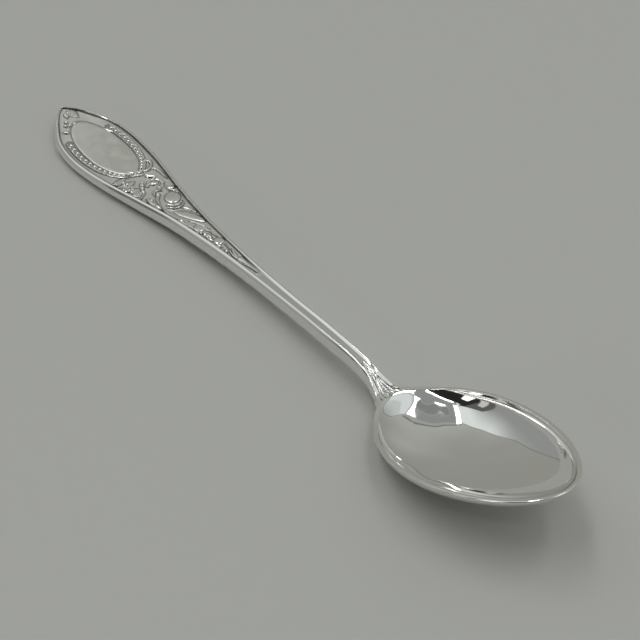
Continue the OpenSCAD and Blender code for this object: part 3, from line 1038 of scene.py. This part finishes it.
        def surface(u: Array, v: Array) -> Array:
            """Points of the shell.

            Args:
                u: Shares of the way round it.
                v: Shares of the way from under the belly to the hollow.

            Returns:
                The points.
            """
            i = np.rint(u * self.columns).astype(int)
            k = np.rint(v * (rows - 1)).astype(int)
            r, a = radii[i, k], turn[i]
            s = f.bowl_mid - r * np.cos(a)
            return np.stack([s, r * np.sin(a), np.clip(f.top_z(s) - depths[i, k], 0, None)], -1)

        bm = MeshMaker.sheet(self.columns, rows - 1, surface)
        MeshMaker.close(bm)
        return MeshMaker.piece("bowl_shell", bm, BOWL_MIRROR, "bowl")


@dataclass
class Blank:
    """The plain metal of the handle: the plate of the end and the narrow stem."""

    bowl: Bowl
    joint: float = 65.3
    reach: float = 3.2
    plate_cells: int = 640
    stem_cells: int = 320
    field_cells: int = 96
    side_cells: int = 9
    base_cells: int = 6
    crease: float = 60.0
    least_t: float = 0.2
    sink: float = 0.06
    sink_l: float = 0.3
    root_w: float = 2.7
    root_l: float = 2.0
    root_gap: float = 0.3
    base_share: float = 0.78
    side_places: tuple[float, ...] = (0.0, 0.3, 0.62, 1.0)
    side_full: tuple[float, ...] = (0.0, 1.0, 0.85, 0.0)
    side_tucked: tuple[float, ...] = (0.0, 1.0, 0.45, 0.0)
    side_down: tuple[float, ...] = (0.0, 0.42, 0.8, 1.0)
    tuck_ramp: Spot = (15.0, 25.0)
    dots: tuple[float, float, int] = (110.0, 22.0, 24)
    dot_rows: Spot = (-0.62, 0.28)
    dot_out: float = 0.1
    dot_deep: float = 0.1
    dot_w: float = 0.18
    top_band: Spot = (0.35, 0.02)
    mark_dark: Spot = (0.8, 0.22)
    border_dark: float = 0.95
    border_share: float = 0.13
    border_w: Spot = (0.14, 0.42)
    plain_dark: float = 0.12
    struck_end: float = 67.0
    struck_fade: float = 4.0

    def outline(self) -> Array:
        """The cross-section's rows: its field from left to right, then round underneath.

        Returns:
            Rows of kind (0 top, 1 side, 2 base), side and share.
        """
        rows = [(0.0, 0.0, y) for y in np.linspace(-1, 1, self.field_cells + 1)]
        turn = np.linspace(0, 1, self.side_cells + 1)[1:]
        rows += [(1.0, 1.0, t) for t in turn]
        rows += [(2.0, 1.0, t) for t in np.linspace(1, -1, self.base_cells + 1)[1:-1]]
        rows += [(1.0, -1.0, t) for t in turn[::-1]]
        rows.append((0.0, 0.0, -1.0))
        return np.array(rows)

    def section_points(self, s: Array, rows: Array) -> Array:
        """Points of the cross-section.

        Args:
            s: Places along the spoon.
            rows: The cross-section's row for each place.

        Returns:
            The points.
        """
        f = FORM
        under = smooth_step((s - self.bowl.cap) / self.sink_l) * self.sink
        floor = self.bowl.inner_depth(f.bowl_mid - s, np.zeros_like(s)) + self.root_gap
        floor = np.where(s > f.handle_l, floor, 0) * smooth_step(s - f.handle_l)
        w = np.minimum(f.half_w(s), np.where(s > f.handle_l - self.root_l, self.root_w, np.inf))
        flank = f.flank(s)
        top = f.top_z(s) - np.maximum(under, floor)
        low = np.minimum(np.clip(f.top_z(s) - f.thick(s), 0, None), top - self.least_t)
        kind, side, share = rows.T
        places = np.array(self.side_places)
        full, tucked, down = (ease(places, np.array(values), share)
                              for values in (self.side_full, self.side_tucked, self.side_down))
        out = full + (tucked - full) * (1 - smooth_step((s - self.tuck_ramp[0]) / self.tuck_ramp[1]))
        out = np.clip(out, 0, 1)
        edge = w + flank
        wide = np.where(share < places[1], w + flank * out, edge * (self.base_share + (1 - self.base_share) * out))
        y = np.select([kind == 0, kind == 1], [share * w, side * wide], share * edge * self.base_share)
        z = np.select([kind == 0, kind == 1], [top, top - (top - low) * down], low)
        return np.stack([s, y, z], -1)

    def punched(self, s: Array, y: Array) -> Array:
        """Depth of the punched dots of the field.

        Args:
            s: Places along the spoon.
            y: Places across it.

        Returns:
            The depth at each place.
        """
        deep = np.zeros(s.shape)
        for side in (-1, 1):
            for out in self.dot_rows:
                for dot_s, dot_y in RING.points(side, *self.dots, self.dot_out + out, out):
                    deep = np.maximum(deep, self.dot_deep * bell(np.hypot(s - dot_s, y - dot_y), self.dot_w))
        return deep

    def hollow(self, points: Array) -> Array:
        """Tarnish and painted shade of the field, beside the marks and along the border.

        Args:
            points: Points of the blank.

        Returns:
            How far each lies in a hollow darkened with tarnish and painted shade.
        """
        f = FORM
        s, y, z = points.T
        inner = f.inner_w(s)
        on_top = (z > f.top_z(s) - self.top_band[0]) & (np.abs(y) < f.half_w(s) + self.top_band[1])
        gap = np.clip(-ornament_height(s, y), 0, None)
        # Painted shade with tarnish: dark outlines round the marks and a dark band along the inside of the border,
        # on the struck part only.
        near_mark = self.mark_dark[0] * bell(gap, self.mark_dark[1])
        near_border = self.border_dark * bell(inner - np.abs(y), np.clip(self.border_share * inner, *self.border_w))
        plain = np.where(s > self.struck_end, self.plain_dark, 0.0)
        struck = np.clip((self.struck_end - s) / self.struck_fade, 0, 1)
        return np.where(on_top, plain + (near_mark + near_border) * struck, 0)

    def stretch_of(self, start: float, end: float, name: str, node: str, cells: int,
                   finish: SilverFinish) -> bpy.types.Object:
        """Builds one stretch of the blank.

        Args:
            start: Where it starts, in millimetres from the tip.
            end: Where it ends.
            name: Name of the piece.
            node: The CAD node that it stands for.
            cells: Cells along it.
            finish: Its finish.

        Returns:
            The object.
        """
        rows = self.outline()

        def surface(u: Array, v: Array) -> Array:
            """Points of the blank, with the punched dots where the stretch is the plate.

            Args:
                u: Shares of the way along it.
                v: Shares of the way round it.

            Returns:
                The points.
            """
            row = rows[np.rint(v * (len(rows) - 1)).astype(int)]
            s = start + (end - start) * u
            points = self.section_points(s, row)
            if start < self.joint:
                dotted = (row[:, 0] == 0) & (np.abs(points[:, 1]) < FORM.inner_w(s) - self.dot_out)
                points[dotted, 2] -= self.punched(s[dotted], points[dotted, 1])
            return points

        bm = MeshMaker.sheet(cells, len(rows) - 1, surface)
        MeshMaker.close(bm)
        return MeshMaker.piece(name, bm, finish, node, self.hollow, self.crease)

    def build(self) -> list[bpy.types.Object]:
        """Builds the plate and the stem.

        Returns:
            The two objects.
        """
        end = FORM.handle_l + self.reach
        return [
            self.stretch_of(0.0, self.joint, "handle_blank", "handle_plate", self.plate_cells, FIELD_SATIN),
            self.stretch_of(self.joint, end, "stem_blank", "stem", self.stem_cells, STEM_POLISH),
        ]


@dataclass
class ThreadBorder:
    """The raised thread along one edge of the handle. On the stem, the far one has a broad, low inner facet."""

    side: int
    cells: int = 900
    rounds: int = 40
    crease: float = 60.0
    crowding: float = 1.25
    crest: float = 0.5
    crest_end: float = 0.24
    crest_ramp: Spot = (50.0, 20.0)
    full_w: float = 0.45
    least_h: float = 0.3
    facet_h: float = 0.23
    facet_at: float = 1.02
    facet_power: float = 1.15
    facet_ramp: Spot = (48.0, 26.0)
    up_share: float = 0.35
    down_share: float = 0.45
    home_share: float = 0.2
    foot_deep: float = 0.06
    flank_deep: float = 0.42
    least_deep: float = 0.02
    fade: float = 95.0
    end: float = 101.5
    dark_w: float = 0.2
    dark_end: float = 66.0
    dark_from: float = 1.2
    dark_h: float = 0.25

    def surface(self, u: Array, v: Array) -> Array:
        """Points of the thread.

        Args:
            u: Shares of the way along it, closer together toward the tip.
            v: Shares of the way round it: foot, crest, widest side and back to the foot.

        Returns:
            The points.
        """
        f = FORM
        s = self.end * np.power(u, self.crowding)
        full = 1 - smooth_step((s - self.fade) / (self.end - self.fade))
        outer, foot = f.half_w(s), f.inner_w(s)
        moved = smooth_step((s - self.crest_ramp[0]) / self.crest_ramp[1])
        crest = foot + (outer - foot) * (self.crest_end + (self.crest - self.crest_end) * moved)
        tall = f.thread_h * np.clip((outer - foot) / self.full_w, self.least_h, 1) * full
        wide, deep = outer + f.flank(s) * full, -self.flank_deep * f.thick(s) * full - self.least_deep
        facet = smooth_step((s - self.facet_ramp[0]) / self.facet_ramp[1]) if self.side > 0 else np.zeros_like(s)
        crest = crest + (np.minimum(foot + (outer - foot) * self.facet_at, (outer + wide) / 2) - crest) * facet
        tall = tall + (self.facet_h * full - tall) * facet
        inward = np.clip(v / self.up_share, 0, 1)
        up = inward * math.pi / 2
        down = np.clip((v - self.up_share) / self.down_share, 0, 1) * math.pi / 2
        home = np.clip((v - (self.up_share + self.down_share)) / self.home_share, 0, 1)
        inner_y = 1 - np.cos(up) + (inward - 1 + np.cos(up)) * facet
        inner_z = np.sin(up) + (1 - np.power(1 - inward, self.facet_power) - np.sin(up)) * facet
        rising = v < self.up_share
        y = np.where(rising, foot + (crest - foot) * inner_y, crest + (wide - crest) * np.sin(down))
        z = np.where(rising, (tall + self.foot_deep) * inner_z - self.foot_deep,
                     deep + (tall - deep) * np.cos(down))
        y, z = y + (foot - y) * home, z + (-self.foot_deep - z) * home
        return np.stack([s, self.side * y, f.top_z(s) + z], -1)

    def hollow(self, points: Array) -> Array:
        """Tarnish and painted shade at the foot of the thread, on its inner side, darker the lower a point lies.

        Args:
            points: Points of the thread.

        Returns:
            How far each lies in a hollow darkened with tarnish and painted shade.
        """
        s, y, z = points.T
        inner = FORM.inner_w(s)
        inside = np.abs(y) < inner + (FORM.half_w(s) - inner) * self.dark_w
        # Painted shade with tarnish: full at the thread's foot, fading out up its inner side.
        return np.where(inside & (s < self.dark_end), self.dark_from - (z - FORM.top_z(s)) / self.dark_h, 0)

    def build(self) -> bpy.types.Object:
        """Builds the thread.

        Returns:
            The thread's object.
        """
        bm = MeshMaker.sheet(self.cells, self.rounds, self.surface)
        MeshMaker.close(bm)
        node = "thread_right" if self.side > 0 else "thread_left"
        return MeshMaker.piece(f"{node}_wire", bm, THREAD_POLISH, node, self.hollow, self.crease)


@dataclass
class StruckOrnament:
    """The struck motifs of the handle, each laid over the field."""

    sunk: float = 0.1
    lip: float = 0.02
    base: float = 0.12
    margin: float = 0.15
    tip: float = 0.8
    over_bowl: float = 1.2
    border_slope: float = 2.5
    least_cells: int = 8
    crease: float = 70.0

    def motif(self, motif: Motif) -> bpy.types.Object:
        """Builds one motif as a closed relief that dips into the field round its edge.

        Args:
            motif: The motif.

        Returns:
            Its object.
        """
        f = FORM
        boxes = np.array([m.box() for m in motif.marks])
        low, high = boxes[:, :2].min(0) - self.margin, boxes[:, 2:].max(0) + self.margin
        low[0], high[0] = max(low[0], self.tip), min(high[0], f.handle_l + self.over_bowl)
        nu, nv = (max(int((high[k] - low[k]) / motif.pitch), self.least_cells) for k in (0, 1))

        def surface(u: Array, v: Array) -> Array:
            """Points of the relief.

            Args:
                u: Shares of its plan box along the spoon.
                v: Shares of its plan box across the spoon.

            Returns:
                The points.
            """
            s, y = low[0] + (high[0] - low[0]) * u, low[1] + (high[1] - low[1]) * v
            room = f.inner_w(s) - np.abs(y)
            rise = np.minimum(motif.height(s, y), np.where(room > 0, room * self.border_slope, room))
            return np.stack([s, y, f.top_z(s) + np.clip(rise, -self.sunk - self.lip, None)], -1)

        def over_top(points: Array) -> Array:
            """Height of points above the field."""
            return points[:, 2] - f.top_z(points[:, 0])

        bm = MeshMaker.sheet(nu, nv, surface)
        heights = over_top(FORM.unplace([v.co for v in bm.verts]))
        gone = [v for v, h in zip(bm.verts, heights) if h < -self.sunk]
        bmesh.ops.delete(bm, geom=gone, context="VERTS")
        grown = bmesh.ops.extrude_face_region(bm, geom=bm.faces[:], use_keep_orig=True)
        for v in grown["geom"]:
            if isinstance(v, bmesh.types.BMVert):
                v.co[2] = (float(f.top_z(v.co[0] / MM + f.spoon_l / 2)) - self.sunk - self.base) * MM
        bmesh.ops.recalc_face_normals(bm, faces=bm.faces)
        # The relief's low parts, up to dark_h above the field, are darkened as painted shade with tarnish.
        return MeshMaker.piece(f"{motif.node}_relief", bm, motif.finish, motif.node,
                               lambda points: 1 - over_top(points) / motif.dark_h, self.crease)

    def build(self) -> list[bpy.types.Object]:
        """Builds all the motifs."""
        return [self.motif(m) for m in ORNAMENT]


@dataclass(frozen=True)
class Pane:
    """A pane of the light tent: a range of two of its coordinates, a colour and the softness of its edge."""

    low: Spot
    high: Spot
    colour: Colour
    soft: float = 0.012


LEAST_LEVEL = 0.02
LEAST_UP = 0.001


class TentPen(NodePen):
    """Draws the light tent's world, one pane over another."""

    def __init__(self, tree: bpy.types.NodeTree, toward: Vector, right: Vector) -> None:
        """Starts with the tent's three coordinates of the direction looked in.

        Args:
            tree: The world's node tree.
            toward: Level direction toward the tent's open side.
            right: Level direction to the right of someone who looks in.
        """
        super().__init__(tree)
        look = self.add("TexCoord").outputs["Generated"]
        self.x, self.y, self.z = (self.share(look, v) for v in (toward, right, Vector((0, 0, 1))))
        self.picture: Feed = 0.0

    def share(self, look: Socket, axis: Vector) -> Socket:
        """The share of the direction looked in along an axis.

        Args:
            look: The direction.
            axis: The axis.

        Returns:
            The share.
        """
        node = self.add("VectorMath", {"operation": "DOT_PRODUCT"})
        self.feed(node.inputs[0], look)
        self.feed(node.inputs[1], axis)
        return node.outputs["Value"]

    def rise(self, value: Socket, start: float, end: float) -> Socket:
        """A smooth rise from 0 at start to 1 at end, or a fall where end is below start."""
        ends = {"From_Min": min(start, end), "From_Max": max(start, end), "To_Min": float(start > end),
                "To_Max": float(start < end)}
        return self.add("MapRange", {"interpolation_type": "SMOOTHSTEP"}, Value=value, **ends).outputs["Result"]

    def inside(self, value: Socket, low: float, high: float, soft: float) -> Socket:
        """1 where a value lies between two others."""
        rise, fall = self.rise(value, low - soft, low + soft), self.rise(value, high + soft, high - soft)
        return self.math("MULTIPLY", rise, fall)

    def slope(self, across: Socket, reach: float) -> Socket:
        """How high an upright wall is met, from the share of the look toward it and the wall's distance."""
        return self.math("DIVIDE", self.math("MULTIPLY", self.z, reach), self.math("MAXIMUM", across, LEAST_LEVEL))

    def lay(self, colour: Feed, *masks: Socket) -> None:
        """Lays a colour over the picture where all the masks are 1.

        Args:
            colour: The colour.
            *masks: The masks.
        """
        mask = masks[0]
        for more in masks[1:]:
            mask = self.math("MULTIPLY", mask, more)
        self.picture = self.mix(self.picture, colour, mask)

    def pane(self, a: Socket, b: Socket, pane: Pane, *masks: Socket) -> None:
        """Lays a pane, given in two coordinates, over the picture.

        Args:
            a: The first coordinate.
            b: The second one.
            pane: The pane.
            *masks: Where it may show.
        """
        sides = [self.inside(v, low, high, pane.soft) for v, low, high in zip((a, b), pane.low, pane.high)]
        self.lay(pane.colour, *sides, *masks)


@dataclass
class LightTent:
    """The soft white tent round the spoon, drawn on the world by direction.

    It has two side walls, a back wall with a dark seam at each end, an open front, and a ceiling with two grey
    bands, three light bars, a lit edge and a round hole. A dark shape, a dark post, a bright strip and a pale
    patch stand beside the open front.
    """

    half: float = 0.467
    near_half: float = 0.40
    far_half: float = 0.66
    depth: float = 0.557
    mouth: float = 0.62
    power: float = 1.0
    wall_change: float = 0.02
    wall_ramp: Spot = (0.13, 0.68)
    wall_low: Colour = (0.29, 0.30, 0.295)
    wall_high: Colour = (0.74, 0.79, 0.79)
    far_wall_high: Colour = (0.54, 0.575, 0.575)
    back_ramp: Spot = (0.0, 0.9)
    back_low: Colour = (0.295, 0.30, 0.278)
    back_high: Colour = (0.395, 0.408, 0.385)
    end_soft: float = 0.006
    seam: Colour = (0.14, 0.15, 0.15)
    seam_half: float = 0.008
    seam_top: Spot = (1.04, 1.0)
    ceiling: Colour = (0.27, 0.285, 0.285)
    ceiling_from: Spot = (0.02, 0.03)
    opening: Colour = (0.02, 0.02, 0.02)
    opening_soft: float = 0.01
    on_ceiling: tuple[Pane, ...] = (
        Pane((-0.53, -0.39), (-0.45, 0.45), (0.36, 0.37, 0.36), 0.01),
        Pane((-0.575, -0.39), (-0.55, 0.44), (0.10, 0.11, 0.11), 0.01),
        Pane((-0.52, -0.375), (0.36, -0.235), (5.0, 5.0, 5.0)),
        Pane((0.52, -0.30), (0.61, 0.12), (5.0, 5.0, 5.0)),
    )
    slant: float = 0.28
    slanted: tuple[Pane, ...] = (
        Pane((-0.46, 0.262), (0.60, 0.50), (0.68, 0.73, 0.74), 0.03),
        Pane((-0.42, 0.105), (0.24, 0.215), (5.0, 5.0, 5.0)),
    )
    hole: Box = (-0.01, 0.05, 0.17, 0.075)
    hole_rings: tuple[tuple[float, Colour], ...] = ((1.17, (0.33, 0.34, 0.34)), (0.98, (0.225, 0.235, 0.235)))
    ring_soft: float = 0.05
    dark_shape: Colour = (0.11, 0.11, 0.105)
    shape_top: Spot = (-0.58, 88.0)
    shape_side: Spot = (0.54, -68.0)
    shape_front: float = -48.0
    shape_soft: float = 1.0
    on_sides: tuple[Pane, ...] = (
        Pane((-60.0, -9.0), (-36.0, 53.0), (0.025, 0.025, 0.025), 1.0),
        Pane((-49.0, -9.0), (-38.0, 29.0), (2.4, 2.4, 2.4), 1.0),
    )
    patch_lean: float = 0.45
    patch: Pane = Pane((-62.5, 3.0), (-54.0, 29.0), (0.58, 0.58, 0.57), 1.0)

    def walls(self, pen: TentPen) -> None:
        """Draws the side walls, the back wall with its seams and the open front.

        Args:
            pen: The world's pen.
        """
        side, away = pen.math("ABSOLUTE", pen.y), pen.math("MULTIPLY", pen.x, -1.0)
        high = pen.mix(self.wall_high, self.far_wall_high, pen.rise(pen.y, -self.wall_change, self.wall_change))
        pen.picture = pen.mix(self.wall_low, high, pen.rise(pen.slope(side, self.half), *self.wall_ramp))
        back_up = pen.slope(away, self.depth)
        right_end = pen.math("SUBTRACT", pen.math("MULTIPLY", away, self.far_half / self.depth), pen.y)
        left_end = pen.math("ADD", pen.math("MULTIPLY", away, self.half / self.depth), pen.y)
        end = pen.math("MINIMUM", right_end, left_end)
        pen.lay(pen.mix(self.back_low, self.back_high, pen.rise(back_up, *self.back_ramp)),
                pen.rise(end, -self.end_soft, self.end_soft))
        pen.lay(self.seam, pen.inside(end, -self.seam_half, self.seam_half, self.seam_half / 2),
                pen.rise(back_up, *self.seam_top))
        front = pen.math("SUBTRACT", pen.math("MULTIPLY", pen.x, self.half / self.mouth), side)
        pen.lay(self.opening, pen.rise(front, -self.opening_soft, self.opening_soft))

    def beside_front(self, pen: TentPen) -> None:
        """Draws what stands beside the open front, in degrees round and up.

        Args:
            pen: The world's pen.
        """
        around = pen.math("MULTIPLY", pen.math("ARCTAN2", pen.y, pen.x), 180 / math.pi)
        height = pen.math("MULTIPLY", pen.math("ARCSINE", pen.z), 180 / math.pi)
        (lean_top, top), (lean_side, side) = self.shape_top, self.shape_side
        front, soft = self.shape_front, self.shape_soft
        under = pen.rise(pen.math("MULTIPLY_ADD", around, lean_top, height), top + soft, top - soft)
        beside = pen.rise(pen.math("MULTIPLY_ADD", height, lean_side, around), side - soft, side + soft)
        pen.lay(self.dark_shape, under, beside, pen.rise(around, front + soft, front - soft))
        for pane in self.on_sides:
            pen.pane(around, height, pane)
        pen.pane(pen.math("MULTIPLY_ADD", height, self.patch_lean, around), height, self.patch)

    def roof(self, pen: TentPen) -> None:
        """Draws the ceiling with its bands, bars, lit edge and hole.

        Args:
            pen: The world's pen.
        """
        up = pen.math("MAXIMUM", pen.z, LEAST_UP)
        x, y = pen.math("DIVIDE", pen.x, up), pen.math("DIVIDE", pen.y, up)
        skew = pen.math("MULTIPLY_ADD", x, self.slant, y)
        above = pen.rise(pen.z, *self.ceiling_from)
        sheet = Pane((-self.depth, -self.near_half), (self.mouth, self.half), self.ceiling)
        for pane in (sheet, *self.on_ceiling):
            pen.pane(x, y, pane, above)
        for pane in self.slanted:
            pen.pane(x, skew, pane, above)
        mid_x, mid_y, half_x, half_y = self.hole
        a, b = (pen.math("MULTIPLY_ADD", v, 1 / h, -m / h) for v, m, h in ((x, mid_x, half_x), (y, mid_y, half_y)))
        far = pen.math("SQRT", pen.math("ADD", pen.math("MULTIPLY", a, a), pen.math("MULTIPLY", b, b)))
        for size, colour in self.hole_rings:
            pen.lay(colour, pen.rise(far, size + self.ring_soft, size - self.ring_soft), above)

    def build(self, toward: Vector, right: Vector) -> None:
        """Builds the tent as the scene's world.

        Args:
            toward: Level direction toward the tent's open side.
            right: Level direction to the right of someone who looks in.
        """
        world = bpy.data.worlds.new("light_tent")
        world.use_nodes = True
        bpy.context.scene.world = world
        pen = TentPen(world.node_tree, toward, right)
        self.walls(pen)
        self.beside_front(pen)
        self.roof(pen)
        light = world.node_tree.nodes["Background"]
        pen.feed(light.inputs["Color"], pen.picture)
        pen.feed(light.inputs["Strength"], self.power)


@dataclass
class Studio:
    """The pale floor, the light tent and the camera."""

    target: tuple[float, float, float] = (6.5, 4.88, 0.0)
    distance: float = 307.8
    azimuth: float = 46.77
    elevation: float = 45.02
    roll: float = 4.34
    lens: float = 91.87
    sensor: float = 36.0
    clip: Spot = (0.01, 20.0)
    floor_half: float = 1.5
    floor_tone: Colour = (0.55, 0.546, 0.518)
    floor_rough: float = 0.6
    tent: LightTent = field(default_factory=LightTent)

    def camera(self) -> bpy.types.Object:
        """Places the camera at the photograph's viewing angle.

        Returns:
            The camera.
        """
        a, e, r = (math.radians(v) for v in (self.azimuth, self.elevation, self.roll))
        back = Vector((math.sin(a) * math.cos(e), -math.cos(a) * math.cos(e), math.sin(e)))
        right = Vector((math.cos(a), math.sin(a), 0.0))
        up = back.cross(right)
        across = right * math.cos(r) + up * math.sin(r)
        rise = up * math.cos(r) - right * math.sin(r)
        data = bpy.data.cameras.new("camera")
        data.lens, data.sensor_width = self.lens, self.sensor
        data.clip_start, data.clip_end = self.clip
        obj = bpy.data.objects.new("camera", data)
        bpy.context.scene.collection.objects.link(obj)
        place = (Vector(self.target) + back * self.distance) * MM
        turn = Matrix((across, rise, back)).transposed().to_4x4()
        obj.matrix_world = Matrix.Translation(place) @ turn
        bpy.context.scene.camera = obj
        return obj

    def floor(self) -> bpy.types.Object:
        """Builds the plain pale floor.

        Returns:
            The floor.
        """
        bm = bmesh.new()
        bmesh.ops.create_grid(bm, x_segments=1, y_segments=1, size=self.floor_half)
        mesh = bpy.data.meshes.new("floor")
        bm.to_mesh(mesh)
        bm.free()
        mat = bpy.data.materials.new("pale_floor")
        mat.use_nodes = True
        shader = mat.node_tree.nodes["Principled BSDF"]
        shader.inputs["Base Color"].default_value = (*self.floor_tone, 1)
        shader.inputs["Roughness"].default_value = self.floor_rough
        mesh.materials.append(mat)
        obj = bpy.data.objects.new("floor", mesh)
        bpy.context.scene.collection.objects.link(obj)
        return obj

    def build(self) -> None:
        """Builds the whole studio."""
        self.camera()
        self.floor()
        a = math.radians(self.azimuth)
        self.tent.build(Vector((math.sin(a), -math.cos(a), 0.0)), Vector((math.cos(a), math.sin(a), 0.0)))


def main() -> None:
    logging.basicConfig(level=logging.INFO, format="%(message)s")
    bpy.context.scene.view_settings.view_transform = "Standard"
    bowl = Bowl()
    bowl.build()
    Blank(bowl).build()
    for side in (-1, 1):
        ThreadBorder(side).build()
    StruckOrnament().build()
    Studio().build()


if __name__ == "__main__":
    main()
